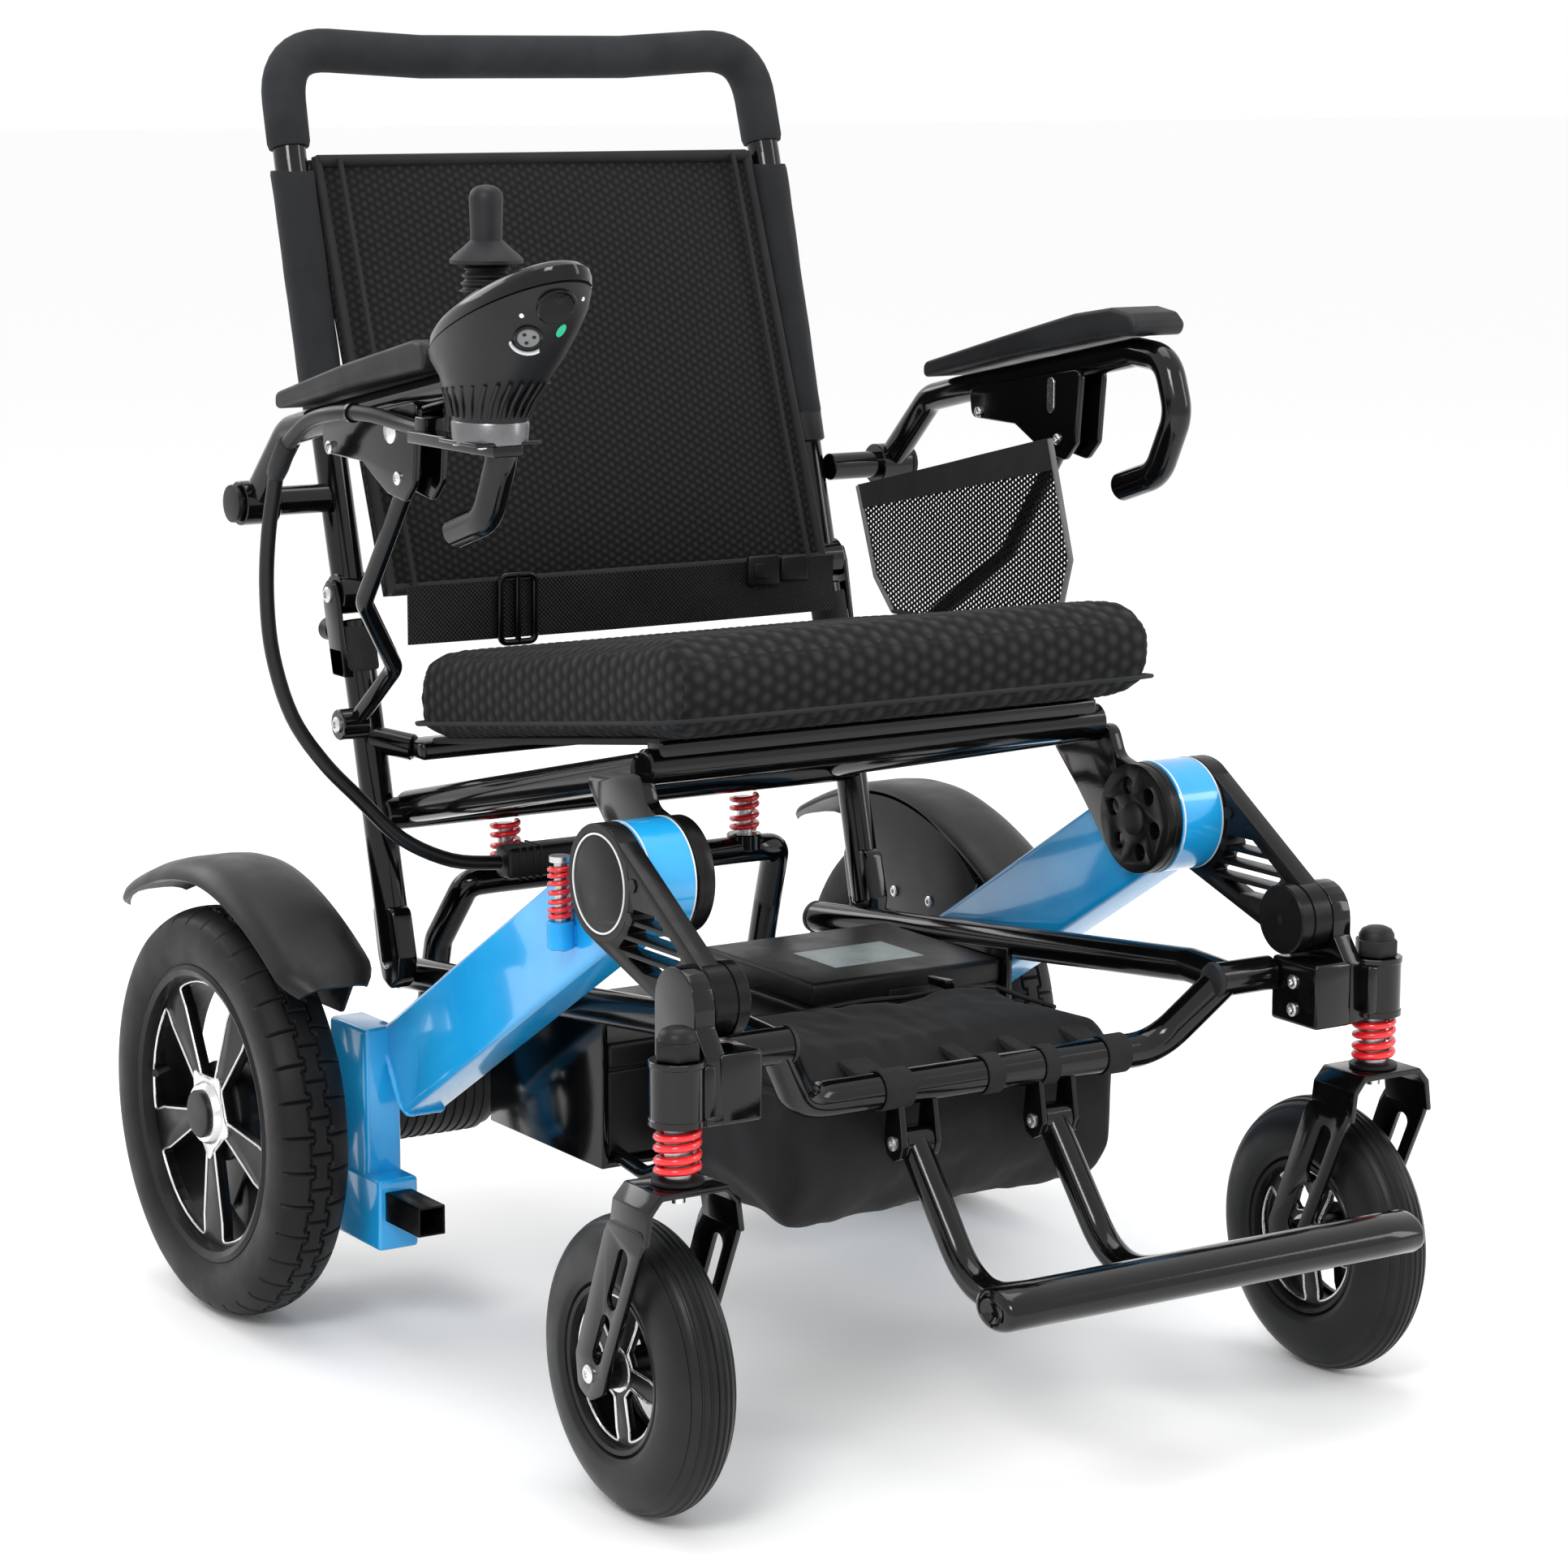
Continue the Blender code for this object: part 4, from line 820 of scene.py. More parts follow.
def caster_block(tag, side):
    stem = PIVOT["caster_swivel_" + tag]
    cheek = [(-0.2975, 0.268), (-0.2475, 0.268), (-0.2325, 0.296)]
    cheek += circle(KNEE, KNEE_R, 24)[:13]
    cheek += [(-0.2825, 0.33), (-0.296, 0.312)]
    shapes = [plate(rounded(cheek, 0.004, 3), side * 0.2565, side * 0.272, (), 0.0018, 3),
              block((side * 0.2292, -0.2975, 0.268), (side * 0.262, -0.2475, 0.3143), 0.003),
              turned([(0.2716, 0.0093), (0.2716, 0.0178), (0.2722, 0.0188), (0.276, 0.0188), (0.2768, 0.018),
                      (0.31, 0.018), (0.3108, 0.0188), (0.3138, 0.0188), (0.3143, 0.0182), (0.3143, 0.0093)],
                     (stem.x, stem.y, 0), "Z", 48),
              block((side * 0.27, -0.306, 0.276), (side * 0.279, -0.274, 0.3105), 0.002)]
    piece("caster_housing_" + tag, merge(*shapes), "black_paint", "frame", "caster_block_" + tag)
    bolts = [cross_bolt(side * 0.2291, (-0.2725, z), -side, 0.005, 0.0026) for z in (0.279, 0.299)]
    bolts += [cross_bolt(side * 0.2719, (-0.256, z), side, 0.0042, 0.0022) for z in (0.283, 0.301)]
    piece("caster_housing_bolts_" + tag, merge(*bolts), "silver", "frame")


# ---------------------------------------------------------------- drum, truss arm and side beam

DRUM = PIVOT["frame_fold"]


def truss_arm(tag, side):
    drum = Vector((DRUM.y, DRUM.z))
    knee = KNEE
    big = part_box("truss_arm_" + tag)[1].z - drum.y
    small = 0.0235
    along = (knee - drum).normalized()
    across = Vector((-along.y, along.x))
    inner_x, outer_x = side * 0.2419, side * 0.2568
    inset = 0.0105
    upper = (drum - across * (big - inset), knee - across * (small - inset + 0.001))
    lower = (drum + across * (big - inset), knee + across * (small - inset + 0.001))

    def line_y(line, z):
        a, b = line
        return a.x + (z - a.y) * (b.x - a.x) / (b.y - a.y)

    def clear_y(z):
        near = max(0.0, 0.0455 ** 2 - (z - drum.y) ** 2) ** 0.5
        far = max(0.0, 0.03 ** 2 - (z - knee.y) ** 2) ** 0.5
        return drum.x - near, knee.x + far

    holes = []
    for z0 in (0.3475, 0.3585, 0.3695, 0.3805):
        z1 = z0 + 0.0078
        corners = []
        for z in (z0, z1):
            stop, start = clear_y(z)
            a, b = sorted((line_y(upper, z), line_y(lower, z)))
            corners.append((max(a, start), min(b, stop)))
        if min(b - a for a, b in corners) > 0.006:
            loop = [(corners[0][0], z0), (corners[0][1], z0), (corners[1][1], z1), (corners[1][0], z1)]
            holes.append(rounded(loop, 0.0012, 3))
    tilt = along.angle_signed(Vector((1, 0)))
    ring = []
    for centre, r, start in ((drum, big, -90), (knee, small, 90)):
        for i in range(33):
            t = tilt + radians(start + 180 * i / 32) + pi
            ring.append(polar(centre, r, t))
    shapes = [plate(convex(ring), inner_x, outer_x, holes, 0.0012, 2)]
    shapes.append(stack(mirror(side, [(0.2416, big - 0.0008), (0.2424, big), (0.256, big),
                                      (0.2572, big - 0.001), (0.2572, big - 0.0052), (0.2558, big - 0.006)]),
                        (0, drum.x, drum.y), "X", 72))
    knob = [(0.2284, 0.0235), (0.2296, 0.0248), (0.238, 0.025), (0.2384, 0.024), (0.24, 0.024),
            (0.2404, 0.025), (0.255, 0.025), (0.2562, 0.0238)]
    shapes.append(stack([(side * x, r) for x, r in knob], (0, knee.x, knee.y), "X", 56))
    piece("truss_" + tag, merge(*shapes), "satin_paint", "frame", "truss_arm_" + tag)
    ring = turned(mirror(side, [(0.256, 0.0328), (0.256, 0.0341), (0.2575, 0.0341), (0.2575, 0.0328)]),
                  (0, drum.x, drum.y), "X", 96)
    piece("drum_ring_" + tag, ring, "light_grey", "frame")
    dimple = stack([(side * 0.2286, 0.003), (side * 0.2279, 0.003)], (0, knee.x, knee.y), "X", 20)
    nuts = [stack([(side * 0.2405, 0.005), (side * 0.258, 0.005)], (0, drum.x + y, drum.y + z), "X", 6)
            for y, z in ((-0.044, 0.006), (-0.04, -0.017))]
    piece("truss_fasteners_" + tag, merge(dimple, *nuts), "plastic", "frame")


def convex(points):
    """The convex hull of (y, z) points, in order."""
    points = sorted(set((round(y, 6), round(z, 6)) for y, z in points))

    def turns_right(a, b, c):
        return (b[0] - a[0]) * (c[1] - a[1]) - (b[1] - a[1]) * (c[0] - a[0]) <= 0

    def half(sequence):
        kept = []
        for p in sequence:
            while len(kept) > 1 and turns_right(*kept[-2:], p):
                kept.pop()
            kept.append(p)
        return kept[:-1]

    return half(points) + half(reversed(points))


def side_beam(tag, side):
    c = DRUM
    inner, outer = 0.2045, 0.2408
    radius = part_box("side_beam_" + tag)[1].z - c.z
    depth = 0.0345
    slope, reach = radians(31), 0.392
    along, up = Vector((cos(slope), -sin(slope))), Vector((sin(slope), cos(slope)))
    drum = Vector((c.y, c.z))
    end = drum + along * reach
    beam = [drum + up * depth, end + up * depth, end - up * depth, drum - up * depth]
    shapes = [plate(beam, side * inner, side * outer, (), 0.005, 5),
              disc(c, radius, side * inner, side * outer, "X", 96, 0.0008)]
    outline = [(0.208, 0.238), (0.284, 0.232), (0.338, 0.205), (0.35, 0.155), (0.338, 0.115), (0.3, 0.117),
               (0.232, 0.117), (0.206, 0.117), (0.186, 0.14), (0.172, 0.18)]
    receiver = block((side * 0.2285, 0.179, 0.0662), (side * 0.2615, 0.264, 0.12), 0.003)
    pillar = block((side * 0.23, 0.201, 0.11), (side * 0.26, 0.26, 0.23), 0.004)
    shapes += [plate(rounded(outline, 0.006, 4), side * 0.2285, side * 0.2615, (), 0.0022, 3), receiver,
               pillar]
    piece("beam_" + tag, merge(*shapes), "blue_paint", "rear_unit", "side_beam_" + tag)
    bead = []
    for i, t in enumerate(turns(120)):
        lump = 0.0022 + 0.0007 * noise.noise(Vector((i * 1.7, side * 4.0, 0)))
        y = max(-1.0, min(1.0, 1.25 * cos(t))) * 0.0348
        x = side * ((inner + outer) / 2 + max(-1.0, min(1.0, 1.25 * sin(t))) * 0.0186)
        at = drum + along * (reach - 0.004) + up * y
        bead.append(((x, at.x, at.y), lump))
    piece("beam_weld_" + tag, sweep([p for p, r in bead], [r for p, r in bead], 8, closed=True), "blue_paint",
          "rear_unit")
    # Thin light grey rings at both edges of the blue drum: painted highlight, standing in for the light
    # caught on the drum's edges.
    edges = [turned([(side * x, radius - 0.0006), (side * x, radius + 0.0003),
                     (side * (x + 0.0011), radius + 0.0003), (side * (x + 0.0011), radius - 0.0006)], c, "X",
                    96) for x in (0.2052, 0.2391)]
    piece("drum_painted_highlights_" + tag, merge(*edges), "light_grey", "rear_unit")
    x, y = side * 0.2505, -0.074
    holder = stack([(0.341, 0.007), (0.3425, 0.0095), (0.36, 0.0095), (0.361, 0.0085)], (x, y, 0), "Z", 32)
    arm = block((side * 0.24, y - 0.006, 0.344), (x, y + 0.006, 0.358), 0.0015)
    piece("lock_holder_" + tag, merge(holder, arm), "blue_lug", "rear_unit")
    rod = stack([(0.34, 0.0042), (0.401, 0.0042), (0.402, 0.0075), (0.406, 0.0075)], (x, y, 0), "Z", 24)
    piece("lock_rod_" + tag, rod, "spring_core", "rear_unit")
    coil("lock_coil_" + tag, "rear_unit", (x, y), 0.361, 0.4005, 0.0072, 0.0017, 7)


# ---------------------------------------------------------------- tubes of the frame

TUBE_R = 0.0125
RAIL_X = 0.19
POST_X = 0.2125
STUB = (-0.2465, 0.3009)
FRONT_BAR = (-0.2176, 0.251)
FOLD = PIVOT["back_fold"]
CANE_LEAN = radians(15.3)


def cane_y(z):
    return FOLD.y + (z - FOLD.z) * tan(CANE_LEAN)


def onto_cane(mesh, side):
    """Shift a mesh that stands on the Z axis onto the leaning cane or post of a side."""
    for v in mesh.verts:
        v.co = Vector((v.co.x + side * POST_X, v.co.y + cane_y(v.co.z), v.co.z))
    return mesh


def both_sides(half):
    """A route from the right side, carried on to the left as its mirror image."""
    return half + [(-x, y, z) for x, y, z in reversed(half)]


def cushion_top(y):
    """Height of the cushion's sloping top."""
    return 0.557 - 0.055 * (y + 0.1535) / 0.3935


def make_seat_frame():
    c = PIVOT["frame_fold"]
    drop, under = 0.065, 0.07
    corners = [(-0.095, drop), (0.232, drop), (0.232, under), (-0.095, under)]
    deck = [(y, cushion_top(y) - depth) for y, depth in corners]
    piece("seat_sling", plate(deck, -0.185, 0.185, (), 0.002), "nylon", "frame")
    shapes = [tube([(-0.193, -0.088, 0.4635), (0.193, -0.088, 0.4635)], TUBE_R),
              tube([(-POST_X, 0.26, 0.378), (POST_X, 0.26, 0.378)], TUBE_R),
              tube([(-0.19, 0.25, 0.4285), (-POST_X, 0.276, 0.434)], 0.01),
              tube([(0.19, 0.25, 0.4285), (POST_X, 0.276, 0.434)], 0.01),
              block((-0.195, 0.228, 0.4215), (0.195, 0.258, 0.4355), 0.004),
              block((-0.185, -0.098, 0.468), (0.185, -0.078, 0.4815), 0.003)]
    bracket = [(-0.02, 0.452), (-0.1, 0.462), (-0.11, 0.44), (-0.15, 0.43), (-0.128, 0.358), (-0.098, 0.375),
               (-0.065, 0.41)]
    lug = [(0.284, 0.48), (0.304, 0.48), (0.317, 0.53), (0.319, 0.543), (0.311, 0.551), (0.301, 0.549),
           (0.296, 0.538)]
    hook = [(0.231, 0.312), (0.221, 0.275), (0.224, 0.258), (0.235, 0.249), (0.248, 0.255), (0.255, 0.272),
            (0.264, 0.312)]
    bright = []
    for tag, side in SIDES:
        shapes += [tube([(side * RAIL_X, -0.088, 0.4615), (side * RAIL_X, 0.26, 0.382)], TUBE_R),
                   plate(rounded(bracket, 0.012, 5), side * 0.1925, side * 0.2034, (), 0.0012),
                   disc(c, 0.02, side * 0.2, side * 0.2405),
                   tube([(side * POST_X, 0.238, 0.269), (side * POST_X, 0.2835, 0.45),
                         (side * POST_X, cane_y(0.52), 0.52)], TUBE_R, 0.05),
                   plate(rounded(lug, 0.004, 4), side * 0.2256, side * 0.23, (), 0.0008),
                   plate([(0.284, 0.48), (0.304, 0.48), (0.309, 0.5), (0.289, 0.5)], side * 0.215,
                         side * 0.23, (), 0.0006),
                   plate(rounded(hook, 0.008, 4), side * 0.204, side * 0.221, (), 0.0025, 3)]
        recess = [circle(polar(c.yz, 0.0248, radians(60 * i + 12)), 0.006, 24) for i in range(6)]
        cap = plate(circle(c.yz, 0.04, 96), side * 0.19, side * 0.202, recess, 0.0008)
        piece("drum_cap_" + tag, merge(cap, disc(c, 0.0404, side * 0.1975, side * 0.2034, "X", 96)),
              "satin_paint", "frame")
        dome = stack(mirror(side, [(0.1902, 0.012), (0.1886, 0.0118), (0.1866, 0.0098), (0.1855, 0.006),
                                   (0.1852, 0.0015)]), (0, c.y, c.z), "X", 40)
        piece("drum_dome_" + tag, dome, "soft_rubber", "frame")
        bright += [cross_bolt(side * 0.2301, FOLD.yz, side, 0.006, 0.003),
                   cross_bolt(side * 0.2211, (0.238, 0.27), side, 0.005, 0.0026),
                   cross_bolt(side * 0.1924, (-0.045, 0.448), -side, 0.0045, 0.0024)]
    piece("seat_tubes", merge(*shapes), "black_paint", "frame", "seat_frame")
    piece("seat_bolts", merge(*bright), "spring_core", "frame")
    knob = stack([(0.321, 0.0045), (0.333, 0.0045), (0.3335, 0.008), (0.344, 0.0088), (0.346, 0.007)],
                 (-POST_X, 0, 0.509), "Y", 24)
    piece("recline_knob", knob, "plastic", "frame")
    for name, side, low, high in (("strap_R", -1, 0.485, 0.517), ("strap_L", 1, 0.488, 0.515)):
        wrap = [(low, 0.014), (low + 0.002, 0.0147), ((low + high) / 2, 0.0147), (high - 0.002, 0.0147),
                (high, 0.014)]
        band = stack(wrap, ORIGIN, "Z", 40)
        piece("post_" + name, onto_cane(band, side), "velcro", "frame")


def make_lower_frame():
    y, z = STUB
    bar = [(side * 0.15, *FRONT_BAR) for side in (-1, 1)]
    front = fillet([(-0.187, y, z), *bar, (0.187, y, z)], 0.04, 10)
    shapes = [sweep(front, TUBE_R, 28), block((-0.176, -0.006, 0.16), (0.176, 0.158, 0.1655), 0.0015)]
    lug = [(-0.212, 0.25), (-0.207, 0.2125), (-0.211, 0.203), (-0.219, 0.1995), (-0.227, 0.203),
           (-0.231, 0.2125), (-0.224, 0.25)]
    domes, bright = [], []
    for side in (-1, 1):
        rail = side * RAIL_X
        shapes += [tube([(rail, 0.278, 0.252), (rail, -0.205, 0.303), (rail, y - 0.002, z)], TUBE_R),
                   tube([(side * 0.179, y, z), (side * 0.2288, y, z)], TUBE_R),
                   plate([(-0.006, 0.16), (0.158, 0.16), (0.158, 0.262), (-0.006, 0.28)], side * 0.1735,
                         side * 0.179, (), 0.0012),
                   plate(rounded(lug, 0.004, 4), side * 0.0425, side * 0.047, (), 0.0008),
                   plate(rounded(lug, 0.004, 4), side * 0.07, side * 0.0745, (), 0.0008)]
        domes += [stack(mirror(side, [(0.1795, 0.013), (0.178, 0.013), (0.176, 0.0122), (0.1742, 0.009),
                                      (0.1735, 0.003)]), (0, y, z), "X", 28),
                  stack([(0.276, 0.013), (0.28, 0.013), (0.282, 0.0105), (0.283, 0.005)], (rail, 0, 0.252),
                        "Y", 28)]
        bright += [cross_bolt(side * 0.0425, (-0.219, 0.2125), -side, 0.0052, 0.0026),
                   cross_bolt(side * 0.0745, (-0.219, 0.2125), side, 0.0052, 0.0026)]
    piece("lower_tubes", merge(*shapes), "black_paint", "frame", "lower_frame")
    piece("tube_plugs", merge(*domes), "soft_rubber", "frame")
    piece("footrest_bolts", merge(*bright), "spring_core", "frame")


def make_footrest():
    c = PIVOT["footrest_flip"]
    half, y, z = 0.17, -0.4665, 0.175
    bar = []
    caps = [(0.985, 0.3), (1.0, 0.55), (0.997, 0.78), (0.985, 0.93), (0.965, 1.0)]
    run = [(-x, share) for x, share in caps] + [(0.965 * (i / 6 - 1), 1.0) for i in range(1, 12)]
    run += [(x, share) for x, share in reversed(caps)]
    for x, share in run:
        bar.append([(x * half, y + 0.021 * share * cos(t), z + 0.014 * share * sin(t)) for t in turns(40)])
    shapes = [skin(bar)]
    for side in (-1, 1):
        shapes += [tube([(side * 0.0585, c.y, c.z), (side * 0.0585, -0.297, 0.1185), (side * 0.0585, y, z)],
                        0.0108, 0.06, 24, 14), disc((0, c.y, c.z), 0.0112, side * 0.0473, side * 0.0697)]
    piece("footrest_tube", merge(*shapes), "black_paint", "footrest", "footrest")


def make_back_frame():
    rise = 0.944 - FOLD.z
    top_y = FOLD.y + rise * tan(CANE_LEAN)
    half = [(-POST_X, FOLD.y, FOLD.z), (-POST_X, cane_y(0.859), 0.859), (-0.21, top_y, 0.944),
            (-0.09, top_y - 0.003, 0.937)]
    corners = both_sides(half)
    route = fillet(corners, 0.05, 10)
    shapes = [sweep(route, TUBE_R, 28)]
    bright = []
    for side in (-1, 1):
        shapes.append(disc((0, FOLD.y, FOLD.z), 0.0155, side * 0.2, side * 0.2248))
        bright.append(cross_bolt(side * 0.2, FOLD.yz, -side, 0.006, 0.0028))
    piece("back_tube", merge(*shapes), "black_paint", "back", "back_frame")
    piece("fold_bolts", merge(*bright), "spring_core", "back")
    ends = [Vector((side * (POST_X - 0.0003), cane_y(0.869), 0.869)) for side in (-1, 1)]
    grip = [ends[0]] + [p for p in route if p.z > 0.874] + [ends[1]]
    sizes = []
    for i, p in enumerate(grip):
        near = min(i, len(grip) - 1 - i)
        sizes.append(0.0152 if near == 0 else 0.0166 + 0.00025 * noise.noise(p * 45))
    run = [grip[0]] + [grip[0] + (grip[1] - grip[0]) * 0.12] + grip[1:-1]
    run += [grip[-1] + (grip[-2] - grip[-1]) * 0.12, grip[-1]]
    sizes = [sizes[0], 0.0164] + sizes[1:-1] + [0.0164, sizes[-1]]
    foam = piece("foam_grip", sweep(run, sizes, 32), "foam", "back", "handle_grip")


def make_rear_cross():
    half = [(-0.15, 0.308, 0.2), (-0.15, 0.29, 0.27), (-0.14, 0.262, 0.318), (-0.12, 0.258, 0.3195)]
    corners = both_sides(half)
    shapes = [sweep(fillet(corners, 0.025, 6), 0.011, 24)]
    for tag, side in SIDES:
        x, y = side * 0.108, 0.259
        shapes += [block((side * 0.136, 0.29, 0.1975), (side * 0.164, 0.326, 0.204), 0.002),
                   stack([(0.3195, 0.0132), (0.3205, 0.014), (0.3315, 0.014), (0.3325, 0.0132)], (x, y, 0),
                         "Z", 32)]
        coil("buffer_coil_" + tag, "rear_unit", (x, y), 0.333, 0.3648, 0.01, 0.0022, 4,
             "buffer_spring_" + tag)
        core = stack([(0.3325, 0.0062), (0.362, 0.0062)], (x, y, 0), "Z", 24)
        piece("buffer_core_" + tag, core, "spring_core", "rear_unit")
    piece("rear_cross_tube", merge(*shapes), "black_paint", "rear_unit", "rear_cross_frame")


def make_batteries():
    for tag in "RL":
        low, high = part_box("battery_" + tag)
        lid = high.z - 0.02
        case = block(low, (high.x, high.y, lid), 0.003)
        cover = block((low.x, low.y, lid + 0.001), high, 0.004)
        core = block((low.x + 0.002, low.y + 0.002, lid - 0.002),
                     (high.x - 0.002, high.y - 0.002, lid + 0.004), 0.001)
        mid = (low + high) / 2
        catch = block((mid.x - 0.018, low.y - 0.0012, lid - 0.01),
                      (mid.x + 0.018, low.y + 0.004, lid + 0.008), 0.001)
        piece("battery_case_" + tag, merge(case, cover, core, catch), "fender_plastic", "frame",
              "battery_" + tag)
        label = block((mid.x - 0.04, mid.y - 0.04, high.z - 0.0005),
                      (mid.x + 0.04, mid.y + 0.018, high.z + 0.0004), 0.0002, 1)
        piece("battery_label_" + tag, label, "label", "frame")


# ---------------------------------------------------------------- soft goods

def simulate(obj, pressure, cap):
    """Swell a closed piece as cloth, keep each point within cap of where it was, and apply it."""
    start = [v.co.copy() for v in obj.data.vertices]
    modifier = obj.modifiers.new("cloth", "CLOTH")
    modifier.settings.use_pressure = True
    modifier.settings.uniform_pressure_force = pressure
    modifier.settings.effector_weights.gravity = 0
    modifier.settings.quality = 4
    modifier.collision_settings.use_collision = False
    scene = bpy.context.scene
    for number in range(1, 21):
        scene.frame_set(number)
    settled = obj.evaluated_get(bpy.context.evaluated_depsgraph_get()).to_mesh()
    places = [v.co.copy() for v in settled.vertices]
    obj.modifiers.clear()
    scene.frame_set(1)
    for vert, old, new in zip(obj.data.vertices, start, places):
        move = new - old
        if move.length > cap:
            move *= cap / move.length
        vert.co = old + move


def stuffed(name, mesh, material, body, voxel, pressure, cap, *replaced):
    """A padded piece: an even closed skin, swollen as cloth, then smoothed and subdivided."""
    obj = piece(name, mesh, material, body, *replaced)
    remesh = obj.modifiers.new("even", "REMESH")
    remesh.mode = "VOXEL"
    remesh.voxel_size = voxel
    applied(obj)
    simulate(obj, pressure, cap)
    smooth = bmesh.new()
    smooth.from_mesh(obj.data)
    for _ in range(3):
        bmesh.ops.smooth_vert(smooth, verts=smooth.verts[:], factor=0.5, use_axis_x=True, use_axis_y=True,
                              use_axis_z=True)
    smooth.to_mesh(obj.data)
    smooth.free()
    subdivide = obj.modifiers.new("fine", "SUBSURF")
    subdivide.levels = 1
    applied(obj)
    obj.data.shade_smooth()
    return obj


def cells(a, b, pitch):
    """0 to 1 on a triangular lattice of raised cells, at two coordinates along the cloth."""
    total = 0
    for angle in (0, 60, 120):
        wave = 2 * pi / (pitch * sin(radians(60)))
        total += cos(wave * (a * cos(radians(angle)) + b * sin(radians(angle))))
    return (total + 1.5) / 4.5


def emboss(obj, pitch, height):
    """Raise the knitted cells out of the cloth."""
    moves = []
    for v in obj.data.vertices:
        n = v.normal
        if abs(n.x) > 0.72:
            a, b = v.co.y, v.co.z
        elif abs(n.z) > 0.72:
            a, b = v.co.x, v.co.y
        else:
            a, b = v.co.x, v.co.z
        moves.append(v.co + n * height * (cells(a, b, pitch) - 0.5))
    move_to(obj, moves)


def squared(fullness, half_x, half_y, middle_y):
    """An (x, y) loop like a rounded rectangle; more fullness gives tighter corners."""
    loop = []
    for t in turns(64):
        x, y = (max(-1, min(1, fullness * wave(t))) for wave in (cos, sin))
        loop.append((x * half_x, middle_y + y * half_y))
    return loop


def make_cushion():
    low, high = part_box("seat_cushion")
    inset = 0.004
    thick = 0.064

    def line(y, depth):
        return cushion_top(y) - depth

    front, rear = low.y + inset, high.y - inset
    ring = [(front + 0.008, line(front, thick - 0.002)), (rear - 0.004, line(rear, thick - 0.002)),
            (rear, line(rear, 0.03)), (rear - 0.01, line(rear, 0.005)), (0.05, line(0.05, 0.0045)),
            (front + 0.022, line(front, 0.004)), (front, line(front, 0.018)),
            (front - 0.001, line(front, 0.04))]
    body = plate(rounded(ring, 0.012, 5), low.x + inset, high.x - inset, (), 0.01, 4)
    pad = stuffed("cushion", body, "seat_mesh", "frame", 0.0052, 4.0, 0.0055, "seat_cushion")
    emboss(pad, 0.0125, 0.001)
    rim = squared(1.35, high.x + 0.0005, (high.y - low.y) / 2 + 0.001, (low.y + high.y) / 2)
    points = [(x, y, line(y, thick - 0.011)) for x, y in rim]
    piece("cushion_seam", sweep(points, 0.0016, 8, closed=True), "nylon", "frame")


def make_backrest():
    foot, top = Vector((0.2765, 0.5415)), Vector((0.3925, 0.8618))
    rise = (top - foot).length
    along = (top - foot).normalized()
    out = Vector((-along.y, along.x))
    half = 0.1965
    rings = []
    columns, rows = 97, 120
    across = [2 * i / (columns - 1) - 1 for i in range(columns)]
    for j in range(rows + 1):
        v = j / rows
        middle = foot + along * rise * v
        ring = []
        for u in across:
            belly = 0.0075 * (1 - u * u) * (1 - (2 * v - 1) ** 6) + 0.0012 * sin(9 * v + 2 * u) * (1 - u * u)
            tuck = 0.0045 * (max(0, abs(2 * v - 1) - 0.94) / 0.06) ** 2
            place = middle + out * (belly - tuck - 0.0015)
            ring.append((u * half, place.x, place.y))
        rear = middle - out * 0.0085
        rings.append(ring + [(u * half, rear.x, rear.y) for u in reversed(across)])
    panel = piece("back_panel", skin(rings), "back_mesh", "back", "backrest", sharp=60)
    for tag, side in SIDES:
        wrap = []
        for k in range(61):
            z = 0.655 + 0.197 * k / 60
            lip = 0.0006 if k in (0, 60) else 0
            ring = []
            for t in turns(48):
                r = 0.0166 + 0.0007 * noise.noise(Vector((cos(t) * 2, side * 3, z * 38))) - lip
                ring.append((side * POST_X + r * cos(t), cane_y(z) + r * sin(t), z))
            wrap.append(ring)
        piece("cane_sleeve_" + tag, skin(wrap), "sleeve_cloth", "back", sharp=60)
        edge = []
        for k in range(31):
            v = k / 30
            place = foot + along * rise * (0.01 + 0.98 * v)
            edge.append((side * 0.176, place.x + out.x * 0.006, place.y + out.y * 0.006))
        piece("back_piping_" + tag, sweep(edge, 0.0021, 10), "nylon", "back")
        hem = [(side * 0.1925, *(foot + along * rise * k / 20)) for k in range(21)]
        piece("back_hem_" + tag, sweep(hem, 0.0038, 12), "nylon", "back")
    for name, v in (("top", 0.992), ("bottom", 0.008)):
        place = foot + along * rise * v
        points = [(0.192 * (i / 10 - 1), place.x, place.y) for i in range(21)]
        piece("back_hem_" + name, sweep(points, 0.0046, 12), "nylon", "back")
    clamp = stack([(0.633, 0.0142), (0.6345, 0.0162), (0.67, 0.0162), (0.673, 0.0146)], ORIGIN, "Z", 32)
    piece("cane_clamp", onto_cane(clamp, 1), "plastic", "back")


